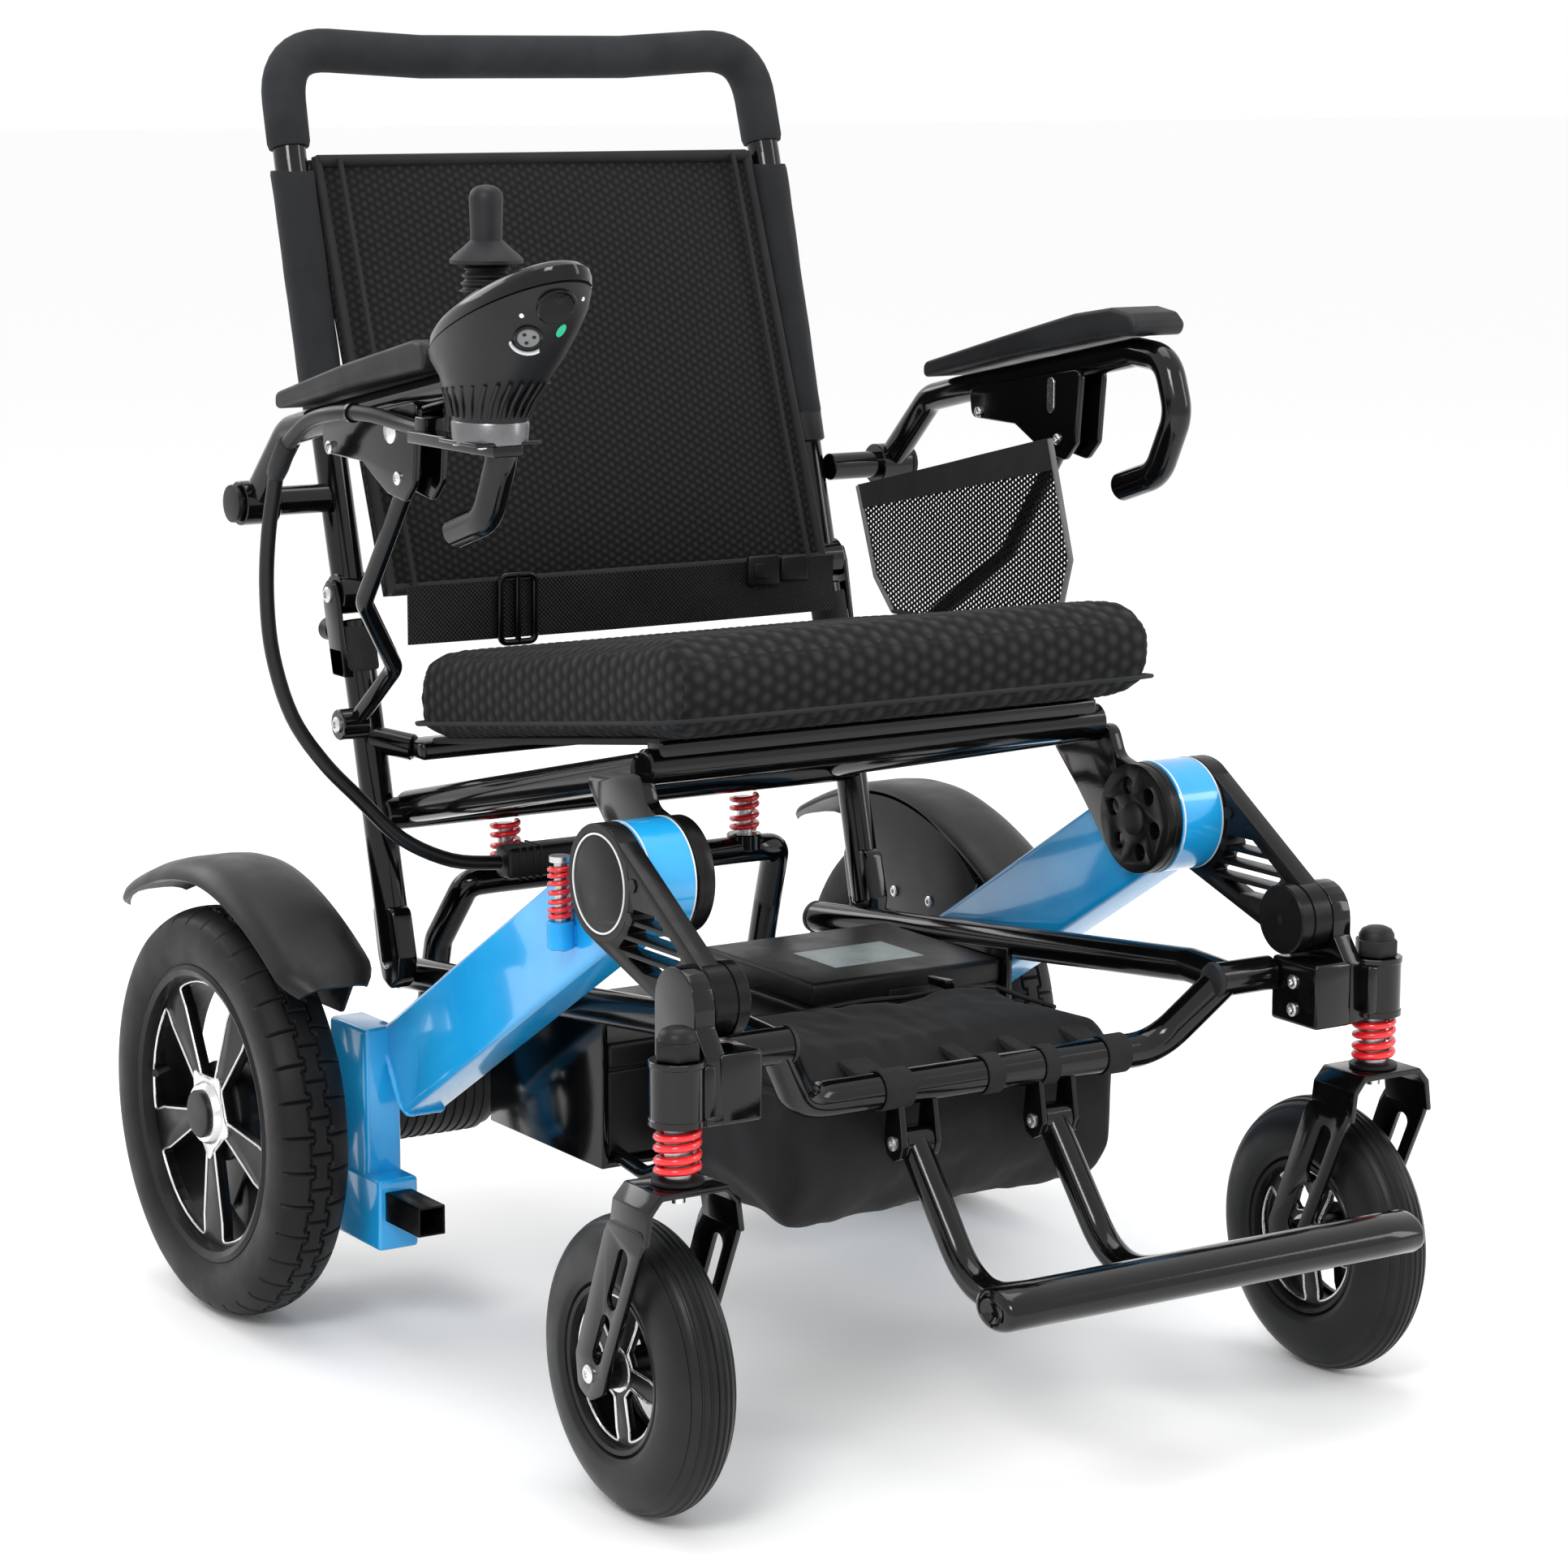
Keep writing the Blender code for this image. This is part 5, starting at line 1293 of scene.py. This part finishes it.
def make_belt():
    low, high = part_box("lap_belt")
    rings = []
    for i in range(97):
        u = i / 96
        x = low.x + (high.x - low.x) * u
        sag = -0.001 * sin(pi * u)
        roll = 0.0009 * sin(26 * u) * (1 - max(0, 1 - abs(x + 0.098) / 0.09))
        ring = []
        for face, shares in ((0.0004, range(11)), (0.0022, reversed(range(11)))):
            for k in shares:
                w = k / 10
                ring.append((x, low.y + face + roll * sin(pi * w), low.z + sag + (high.z - low.z) * w))
        rings.append(ring)
    piece("belt_webbing", skin(rings), "webbing", "back", "lap_belt", sharp=50)
    lo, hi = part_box("belt_slider")
    x0, x1, y = lo.x + 0.003, hi.x - 0.003, lo.y + 0.0012
    z0, z1, middle = lo.z + 0.003, hi.z - 0.003, (lo.x + hi.x) / 2
    loop = rounded([(x0, y, z0), (x1, y, z0), (x1, y, z1), (x0, y, z1)], 0.006, 5)
    bars = [sweep(loop, 0.0026, 14, closed=True),
            sweep([(middle, lo.y + 0.001, lo.z + 0.002), (middle, lo.y + 0.001, hi.z - 0.002)], 0.0024, 14)]
    piece("belt_triglide", merge(*bars), "gloss_plastic", "slider", "belt_slider")
    top = high.z
    buckle = [block((0.108, low.y - 0.004, top - 0.02), (0.137, low.y + 0.0015, top + 0.004), 0.0022),
              block((0.139, low.y - 0.0034, top - 0.018), (0.164, low.y + 0.0015, top + 0.002), 0.0022),
              block((0.113, low.y - 0.0052, top - 0.014), (0.124, low.y - 0.003, top - 0.002), 0.001)]
    piece("belt_buckle", merge(*buckle), "plastic", "back")


def make_bag():
    low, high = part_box("storage_bag")
    inset = 0.005
    ring = [(low.y + 0.022, low.z + 0.01), (high.y - 0.02, low.z + 0.01), (high.y - inset, low.z + 0.03),
            (high.y - inset, high.z - 0.02), (high.y - 0.02, high.z - 0.008), (low.y + 0.03, high.z - 0.008),
            (low.y + inset, high.z - 0.026), (low.y + inset, low.z + 0.035)]
    body = plate(rounded(ring, 0.014, 5), low.x + inset, high.x - inset, (), 0.012, 4)
    bag = stuffed("bag", body, "nylon", "frame", 0.0058, 3.0, 0.006, "storage_bag")
    creased = []
    for v in bag.data.vertices:
        at = v.co.copy()
        drawn = Vector((at.x * 70, at.y * 40, at.z * 16))
        crease = 0.0032 * noise.noise(at * 26) + 0.0016 * noise.noise(drawn)
        sag = 0.004 * max(0, (at.z - 0.24) / 0.03) * noise.noise(at * 14)
        creased.append(at + v.normal * (crease - 0.0012) + Vector((0, 0, sag)))
    move_to(bag, creased)
    rim = squared(1.3, high.x - 0.003, (high.y - low.y) / 2 - 0.004, (low.y + high.y) / 2)
    lip = [(x, y, high.z - 0.024 + 0.0025 * noise.noise(Vector((x * 20, y * 20, 0)))) for x, y in rim]
    piece("bag_piping", sweep(lip, 0.0026, 10, closed=True), "nylon", "frame")
    zip_line = [(x, y - 0.0005, z + 0.011) for x, y, z in lip[:33]]
    piece("bag_zip", sweep(zip_line, 0.0019, 8), "plastic", "frame")
    puller = block((0.09, high.y - 0.03, high.z - 0.006), (0.098, high.y - 0.006, high.z + 0.0005), 0.001)
    piece("bag_puller", puller, "gloss_plastic", "frame")
    tail = [(-0.2035, 0.246), (-0.2035, 0.256), (-0.17, 0.262), (-0.17, 0.2585)]
    for i, (x, width) in enumerate(((0.11, 0.02), (0.052, 0.012), (0.004, 0.014), (-0.076, 0.024))):
        start, end = x - width / 2, x + width / 2
        band = plate(circle(FRONT_BAR, 0.0142, 32), start, end, [circle(FRONT_BAR, 0.0127, 32)], 0.0004, 1)
        tongue = plate(tail, start, end, (), 0.0008)
        piece(f"bag_strap_{i}", merge(band, tongue), "velcro", "frame")
    hoop = [(-0.165, 0.067, 0.2), (-0.165, 0.029, 0.1735), (-0.165, -0.044, 0.1635), (-0.165, -0.095, 0.185)]
    piece("cradle_hoop", tube(hoop, 0.0055, 0.03, 18), "black_paint", "frame")


def make_pocket():
    columns, rows = 61, 41
    plane = 0.2262
    left = [(0.276, 0.6), (0.25, 0.53), (0.225, 0.505)]
    right = [(0.02, 0.658), (-0.008, 0.57), (0.012, 0.505)]

    def along(line, share):
        at = share * (len(line) - 1)
        k = min(int(at), len(line) - 2)
        a, b = Vector(line[k]), Vector(line[k + 1])
        return a + (b - a) * (at - k)

    net = []
    for j in range(rows):
        v = j / (rows - 1)
        start, end = along(left, v), along(right, v)
        row = []
        for i in range(columns):
            u = i / (columns - 1)
            p = start + (end - start) * u
            ripple = 0.0011 * sin(pi * u) * sin(8 * v + 5 * u)
            ripple += 0.0006 * noise.noise(Vector((u * 7, v * 7, 0)))
            row.append((plane + ripple, p.x, p.y))
        net.append(row)
    sheet = bmesh.new()
    grid = [[sheet.verts.new(p) for p in row] for row in net]
    for a, b in zip(grid, grid[1:]):
        for i in range(columns - 1):
            sheet.faces.new((a[i], a[i + 1], b[i + 1], b[i]))
    bmesh.ops.solidify(sheet, geom=sheet.faces[:], thickness=0.0006)
    cloth = piece("pocket_net", sheet, "net", "arm_L", "mesh_pocket")
    hem = []
    for p, lower in zip(net[0], net[5]):
        hem.append([(p[0] - 0.001, p[1], p[2] + 0.001), (p[0] + 0.001, p[1], p[2] + 0.001),
                    (lower[0] + 0.001, lower[1], lower[2]), (lower[0] - 0.001, lower[1], lower[2])])
    piece("pocket_hem", skin(hem), "nylon", "arm_L")
    for name, line in (("left", left), ("right", right)):
        points = [along(line, k / 20) for k in range(21)]
        piece("pocket_piping_" + name, sweep([(plane, p.x, p.y) for p in points], 0.0022, 10), "grey_piping",
              "arm_L")
    piece("pocket_bottom", sweep(net[-1], 0.002, 10), "nylon", "arm_L")


# ---------------------------------------------------------------- arms

def make_arm(tag, side):
    body = "arm_" + tag
    x = side * 0.284
    pivot = PIVOT["arm_flip_" + tag]
    hub = disc((0, pivot.y, pivot.z), 0.0108, side * 0.2258, side * 0.3036)
    cap = stack(mirror(side, [(0.3, 0.0134), (0.302, 0.0142), (0.304, 0.0138), (0.3048, 0.01),
                              (0.305, 0.003)]), (0, pivot.y, pivot.z), "X", 32)
    piece("arm_pin_" + tag, hub, "black_paint", "arm_hub_" + tag, "arm_pivot_" + tag)
    piece("arm_pin_cap_" + tag, cap, "plastic", "arm_hub_" + tag)
    route = [(x, pivot.y, pivot.z), (x, 0.2587, 0.6694), (x, 0.2139, 0.679), (x, -0.01, 0.7226),
             (x, -0.046, 0.72), (x, -0.06, 0.68), (x, -0.037, 0.634), (x, 0.0068, 0.6203)]
    shapes = [tube(route, 0.011, 0.03, 28, 9),
              disc((0, pivot.y, pivot.z), 0.0165, side * 0.27, side * 0.298, "X", 48)]
    cheek = [(0.186, 0.683), (0.182, 0.66), (0.125, 0.659), (0.086, 0.64), (0.06, 0.636), (0.046, 0.65),
             (0.04, 0.708)]
    cheek = rounded(cheek, 0.008, 5)
    shapes += [plate(cheek, side * 0.269, side * 0.2745, (), 0.0018, 3),
               plate(cheek, side * 0.29, side * 0.2955, (), 0.0018, 3)]
    piece("arm_shell_" + tag, merge(*shapes), "black_paint", body, "armrest_" + tag)
    button = stack(mirror(side, [(0.2955, 0.0088), (0.2968, 0.0088), (0.2976, 0.0078), (0.298, 0.002)]),
                   (0, 0.078, 0.684), "X", 32)
    bright = [button]
    for y, z in ((0.1715, 0.665), (0.068, 0.652)):
        bright += [cross_bolt(side * 0.2955, (y, z), side, 0.0048, 0.0028),
                   cross_bolt(side * 0.269, (y, z), -side, 0.0042, 0.0024)]
    slot = plate(capsule((0.077, 0.676), (0.077, 0.694), 0.0046), side * 0.2689, side * 0.268, (), 0.0003, 1)
    bright.append(slot)
    piece("arm_bolts_" + tag, merge(*bright), "silver", body)
    if side > 0:
        pad = [(0.236, 0.6875), (0.236, 0.7), (0.13, 0.727), (0.04, 0.749), (-0.006, 0.756), (-0.028, 0.753),
               (-0.038, 0.745), (-0.034, 0.736), (-0.01, 0.7355), (0.12, 0.7115)]
    else:
        pad = [(0.236, 0.6875), (0.236, 0.7), (0.13, 0.727), (0.026, 0.75), (0.012, 0.749), (0.006, 0.742),
               (0.009, 0.7315), (0.12, 0.7115)]
    cushion = plate(rounded(pad, 0.007, 5), side * 0.2595, side * 0.3075, (), 0.0065, 5)
    piece("arm_cushion_" + tag, cushion, "soft_rubber", body, "arm_pad_" + tag)
    foot = (0.245, 0.452)
    strut = [(side * 0.2822, 0.074, 0.654), (side * 0.2822, 0.149, 0.556), (side * 0.236, 0.191, 0.5),
             (side * 0.242, *foot)]
    parts = [tube(strut, 0.0065, 0.02, 20, 8), disc((0, *foot), 0.0115, side * 0.2342, side * 0.2558)]
    piece("arm_brace_" + tag, merge(*parts), "black_paint", body, "arm_strut_" + tag)
    pin = cross_bolt(side * 0.2558, foot, side, 0.006, 0.003)
    piece("arm_brace_bolt_" + tag, pin, "spring_core", body)


# ---------------------------------------------------------------- joystick

def egg(x, y, z, wide, long, tilt):
    """A tilted ellipse ring that is a little fuller at its front."""
    ring = []
    for t in turns(72):
        along = long * sin(t)
        full = 1 - 0.05 * sin(t)
        ring.append((x + wide * cos(t) * full, y + along * cos(tilt), z - along * sin(tilt)))
    return ring


def shell_rows(x):
    """The joystick housing's slices, from its collar up to its rim."""
    return [(x - 0.007, -0.099, 0.706, 0.024, 0.028, 0), (x - 0.007, -0.1, 0.716, 0.0252, 0.031, radians(2)),
            (x - 0.0065, -0.1005, 0.72, 0.027, 0.0345, radians(4)),
            (x - 0.006, -0.102, 0.726, 0.03, 0.042, radians(7)),
            (x - 0.003, -0.106, 0.74, 0.035, 0.055, radians(11)),
            (x - 0.001, -0.108, 0.752, 0.038, 0.07, radians(15)),
            (x, -0.11, 0.762, 0.0398, 0.0815, radians(18)), (x, -0.1115, 0.77, 0.0402, 0.0865, radians(20))]


def on_shell(x, level, turn):
    """The place on the joystick housing at a slice number and an angle in degrees, with Z facing out."""
    rows = shell_rows(x)

    def point(height, angle):
        low = min(int(height), len(rows) - 2)
        share = height - low
        wide, long, tilt = (rows[low][i] + (rows[low + 1][i] - rows[low][i]) * share for i in (3, 4, 5))
        middle = Vector(rows[low][:3]).lerp(Vector(rows[low + 1][:3]), share)
        t = radians(angle)
        along = long * sin(t)
        return middle + Vector((wide * cos(t) * (1 - 0.05 * sin(t)), along * cos(tilt), -along * sin(tilt)))

    at = point(level, turn)
    across = (point(level, turn + 2) - at).normalized()
    up = (point(level + 0.1, turn) - at).normalized()
    out = across.cross(up).normalized()
    if out.y > 0:
        out = -out
    up = (up - out * up.dot(out)).normalized()
    across = up.cross(out)
    turned_to = Matrix((across, up, out)).transposed().to_4x4()
    return Matrix.Translation(at) @ turned_to


def make_joystick():
    body = "arm_R"
    stick = PIVOT["stick_sideways"]
    x, tilt = stick.x, radians(20)
    shell = skin([egg(*row) for row in shell_rows(x) + [(x, -0.112, 0.7712, 0.0385, 0.085, tilt)]])
    rows = [(-0.1118, 0.7706, 0.0385, 0.0855), (-0.1119, 0.7714, 0.0398, 0.0878),
            (-0.112, 0.7765, 0.0397, 0.0882), (-0.1125, 0.7815, 0.038, 0.086), (-0.113, 0.7855, 0.0345, 0.08),
            (-0.113, 0.7878, 0.03, 0.0735), (-0.113, 0.7888, 0.025, 0.064)]
    rim = skin([egg(x, *row, tilt) for row in rows])
    shell = piece("stick_shell", shell, "housing_plastic", body, "joystick_housing")
    rim = piece("stick_rim", rim, "gloss_plastic", body)
    bore = stack([(0.772, 0.0195), (0.83, 0.0195)], (x, stick.y, 0), "Z", 48)
    for part in (shell, rim):
        cut(part, bore.copy())
    bore.free()
    fins = []
    for t in turns(26):
        a, b = cos(t), sin(t)
        fins.append(sweep([(x - 0.007 + 0.0246 * a, -0.0995 + 0.0292 * b, 0.709),
                           (x - 0.0065 + 0.0274 * a, -0.1005 + 0.0349 * b, 0.7195),
                           (x - 0.005 + 0.0312 * a, -0.103 + 0.0445 * b, 0.729 - 0.004 * b)], 0.0015, 10))
    piece("stick_fins", merge(*fins), "housing_plastic", body)
    collar = skin([egg(x - 0.007, -0.0985, z, w, l, 0)
                   for z, w, l in ((0.6905, 0.0225, 0.0262), (0.6915, 0.024, 0.0275),
                                   (0.7045, 0.0248, 0.0285), (0.706, 0.024, 0.0277))])
    piece("stick_collar", collar, "dark_steel", body)
    foot = [block((x - 0.01, -0.11, 0.682), (x + 0.012, 0.012, 0.6905), 0.0015),
            block((x - 0.004, -0.002, 0.682), (x + 0.0125, 0.012, 0.7), 0.0015),
            block((x - 0.031, -0.124, 0.6905), (x + 0.018, -0.072, 0.6935), 0.0012)]
    piece("stick_foot", merge(*foot), "black_paint", body)
    screws = [bolt((x - 0.022, y, 0.6904), (0, 0, -1), 0.0032, 0.002) for y in (-0.116, -0.082)]
    screws.append(bolt((x + 0.004, -0.06, 0.6819), (0, 0, -1), 0.004, 0.0022))
    piece("stick_screws", merge(*screws), "silver", body)
    make_stick_front(x, body)
    foot_z, top_z = 0.7885, 0.8062
    bellows = []
    for k in range(33):
        share = k / 32
        r = 0.017 - 0.0035 * share + 0.0012 * cos(2 * pi * 3.5 * share)
        bellows.append((foot_z + (top_z - foot_z) * k / 32, r))
    boot = stack([(0.7765, 0.006), (0.788, 0.006)] + bellows, (x, stick.y, 0), "Z", 48)
    boot = piece("stick_bellows", boot, "soft_rubber", None, "joystick_boot")
    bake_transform(boot)
    knob = [(0.8064, 0.0236), (0.8068, 0.0242), (0.809, 0.0242), (0.812, 0.0215), (0.8165, 0.016),
            (0.82, 0.0122), (0.8215, 0.0104), (0.83, 0.0106), (0.844, 0.011), (0.849, 0.0112),
            (0.8525, 0.0103), (0.855, 0.0082), (0.8565, 0.0055), (0.8572, 0.002)]
    piece("stick_knob", stack(knob, (x, stick.y, 0), "Z", 56), "soft_rubber", "joystick_stick",
          "joystick_lever")
    for name, node_name, owner in (("power_cap", "power_button", "power_key"),
                                   ("horn_cap", "horn_button", "horn_key")):
        lo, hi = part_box(node_name)
        mid = (lo + hi) / 2
        cap = disc((0, 0, 0), 0.0034, -0.0022, 0.0026, "Z", 32, 0.0007)
        cap = placed(cap, Matrix.Translation(mid) @ Matrix.Rotation(radians(-20), 4, "X"))
        piece(name, cap, "green_mark" if name == "power_cap" else "grey_plastic", owner, node_name)


def cut(obj, mesh):
    """Cut a closed mesh out of a piece."""
    tool = linked("tool", as_data("tool", mesh))
    modifier = obj.modifiers.new("cut", "BOOLEAN")
    modifier.operation = "DIFFERENCE"
    modifier.solver = "EXACT"
    modifier.object = tool
    applied(obj)
    obj.data.shade_smooth()
    obj.data.set_sharp_from_angle(angle=radians(35))
    bpy.data.objects.remove(tool, do_unlink=True)


def make_stick_front(x, body):
    """The charging socket and its surround on the nose of the joystick housing."""
    def fitted(mesh, level, turn):
        return placed(mesh, on_shell(x, level, turn))

    def arched(radius, start, sweep_angle, steps, lift):
        angles = [radians(start + sweep_angle * a / steps) for a in range(steps + 1)]
        return [(*polar(ORIGIN, radius, t), lift) for t in angles]

    socket = (4.75, -112)
    ring = turned([(-0.006, 0.0074), (-0.006, 0.0092), (0.0008, 0.0092), (0.0016, 0.0084), (0.0016, 0.0074)],
                  ORIGIN, "Z", 48)
    piece("socket_ring", fitted(ring, *socket), "gloss_plastic", body)
    piece("socket_face", fitted(disc((0, 0, 0), 0.0075, -0.006, 0.0009, "Z", 40, 0.0004), *socket),
          "grey_plastic", body)
    pins = [fitted(disc((*polar(ORIGIN, 0.0038, radians(a)), 0), 0.0013, 0.0006, 0.0012, "Z", 16, 0.0001),
                   *socket) for a in (30, 150, 270)]
    piece("socket_pins", merge(*pins), "gloss_plastic", body)
    arc = arched(0.0122, 218, 104, 8, 0.0002)
    piece("socket_arc", fitted(sweep(arc, 0.0023, 12, flat=0.4), *socket), "light_grey", body)
    pocket = disc((0, 0, 0), 0.0125, -0.008, 0.0004, "Z", 48, 0.001)
    brow = arched(0.0132, 20, 150, 12, -0.0002)
    piece("socket_pocket", fitted(merge(pocket, sweep(brow, 0.0011, 10)), 5.75, -97), "gloss_plastic", body)
    glints = [fitted(disc((0, 0, 0), 0.0017, -0.002, 0.0006, "Z", 16, 0.0004), *at)
              for at in ((5.7, -124), (6.2, -70))]
    piece("socket_glints", merge(*glints), "silver", body)
    oval = disc((0, 0, 0), 0.004, -0.003, 0.0006, "Z", 32, 0.0003)
    bmesh.ops.scale(oval, vec=(0.8, 1.3, 1.0), verts=oval.verts)
    piece("socket_oval", fitted(oval, 4.9, -82), "green_mark", body)


# ---------------------------------------------------------------- motors, mudguards and anti-tip bars

def make_motor(tag, side):
    c = PIVOT["rear_wheel_roll_" + tag]
    centre = (0, c.y, c.z)
    profile = [(0.11, 0.036), (0.1112, 0.0385), (0.118, 0.04), (0.119, 0.0415), (0.124, 0.0418),
               (0.1245, 0.0408), (0.198, 0.0408), (0.1985, 0.0418), (0.2275, 0.0418), (0.228, 0.0405)]
    body = stack([(side * x, r) for x, r in profile], centre, "X", 72)
    ribs = [turned([(side * x, 0.0404), (side * x, 0.0418), (side * (x + 0.0022), 0.0418),
                    (side * (x + 0.0022), 0.0404)], centre, "X", 72)
            for x in (0.13, 0.138, 0.146, 0.154, 0.162, 0.17, 0.178, 0.186)]
    neck = disc(centre, 0.0185, side * 0.22, side * 0.27)
    gear = stack(mirror(side, [(0.262, 0.0535), (0.2635, 0.055), (0.274, 0.055), (0.2745, 0.0535),
                               (0.2752, 0.0535), (0.2757, 0.055), (0.2845, 0.055), (0.286, 0.053)]), centre,
                 "X", 72)
    shaft = disc(centre, 0.0085, side * 0.28, side * 0.3378)
    piece("motor_case_" + tag, merge(body, neck, gear, shaft, *ribs), "plastic", "rear_unit", "motor_" + tag)
    bolts = [cross_bolt(side * 0.11, polar(c.yz, 0.028, radians(a)), -side, 0.0034, 0.0022)
             for a in (45, 165, 285)]
    bolts += [cross_bolt(side * 0.286, polar(c.yz, 0.046, radians(a)), side, 0.0034, 0.0018)
              for a in range(0, 360, 60)]
    piece("motor_bolts_" + tag, merge(*bolts), "spring_core", "rear_unit")


def make_fender(tag, side):
    c = PIVOT["rear_wheel_roll_" + tag]
    section = [(0.3482, -0.015), (0.3476, -0.0128), (0.344, -0.0078), (0.338, -0.0036), (0.33, -0.001),
               (0.32, 0.0), (0.295, 0.0), (0.284, -0.001), (0.2765, -0.0036), (0.2742, -0.006),
               (0.2742, -0.0085), (0.279, -0.006), (0.288, -0.004), (0.298, -0.0034), (0.318, -0.0034),
               (0.33, -0.0046), (0.338, -0.0076), (0.3425, -0.0116), (0.3452, -0.0165)]
    rings = []
    count = 48
    for i in range(count + 1):
        share = i / count
        turn = radians(44 + 99 * share)
        rise = 0.192 + 0.02 * abs(2 * share - 1) ** 3
        tip = max(0.0, abs(2 * share - 1) - 0.86) / 0.14
        pinch = 1 - 0.3 * tip ** 2
        ring = []
        for x, lift in section:
            wide = 0.311 + (x - 0.311) * pinch
            r = rise + lift - 0.002 * tip
            ring.append((side * wide, *polar(c.yz, r, turn)))
        rings.append(ring)
    wall = [polar(c.yz, 0.187, radians(a)) for a in range(70, 136, 5)]
    wall += [(0.205, 0.245), (0.318, 0.245)]
    side_wall = plate(rounded(wall, 0.004, 2), side * 0.2742, side * 0.2773, (), 0.0008)
    piece("mudguard_" + tag, merge(skin(rings), side_wall), "fender_plastic", "rear_unit", "fender_" + tag)
    screws = [cross_bolt(side * 0.2742, (y, z), -side, 0.0046, 0.0022)
              for y, z in ((0.24, 0.262), (0.29, 0.262))]
    piece("mudguard_screws_" + tag, merge(*screws), "spring_core", "rear_unit")


def make_anti_tip(tag):
    c = PIVOT["anti_tip_roll_" + tag]
    x = c.x
    half, wall, foot, top = 0.011, 0.0016, 0.089, 0.111
    corners = [((x - half, foot), (x + half, foot + wall)), ((x - half, top - wall), (x + half, top)),
               ((x - half, foot), (x - half + wall, top)), ((x + half - wall, foot), (x + half, top))]
    tube_walls = [block((a, 0.127, b), (e, 0.43, d), 0.0006, 2) for (a, b), (e, d) in corners]
    plug = block((x - half + wall, 0.418, foot + wall), (x + half - wall, 0.4295, top - wall), 0.001)
    ear = [(0.4, 0.109), (0.4, 0.091), (0.436, 0.04), (0.4525, 0.033), (0.465, 0.04), (0.466, 0.052),
           (0.44, 0.095), (0.428, 0.109)]
    ears = [plate(rounded(ear, 0.006, 4), x + edge * 0.0106, x + edge * 0.014, (), 0.0008)
            for edge in (-1, 1)]
    hub = disc(c, 0.0045, -0.014, 0.014)
    piece("tip_bar_" + tag, merge(*tube_walls, plug, *ears, hub), "satin_paint", "rear_unit",
          "anti_tip_bar_" + tag)
    bolts = [cross_bolt(x + edge * 0.014, c.yz, edge, 0.0052, 0.0024) for edge in (-1, 1)]
    bolts.append(bolt((x, 0.22, 0.12), (0, 0, 1), 0.004, 0.0024))
    piece("tip_bolts_" + tag, merge(*bolts), "spring_core", "rear_unit")
    wheel = [(-0.0095, 0.0048), (-0.0095, 0.012), (-0.0078, 0.014), (-0.0078, 0.023), (-0.0095, 0.025),
             (-0.0095, 0.032), (-0.0085, 0.0342), (-0.006, 0.035), (0.006, 0.035), (0.0085, 0.0342),
             (0.0095, 0.032), (0.0095, 0.025), (0.0078, 0.023), (0.0078, 0.014), (0.0095, 0.012),
             (0.0095, 0.0048)]
    piece("tip_wheel_" + tag, turned(wheel, c, "X", 60), "caster_rubber", "anti_tip_roller_" + tag,
          "anti_tip_wheel_" + tag)


# ---------------------------------------------------------------- the whole chair

make_camera()
make_stage()
make_materials()
make_cords()
for tag, side in SIDES:
    rear_wheel(tag, side)
    caster_wheel(tag)
    caster_fork(tag)
    caster_block(tag, side)
    truss_arm(tag, side)
    side_beam(tag, side)
    make_arm(tag, side)
    make_motor(tag, side)
    make_fender(tag, side)
    make_anti_tip(tag)
make_seat_frame()
make_lower_frame()
make_footrest()
make_back_frame()
make_rear_cross()
make_batteries()
make_cushion()
make_backrest()
make_belt()
make_bag()
make_pocket()
make_joystick()
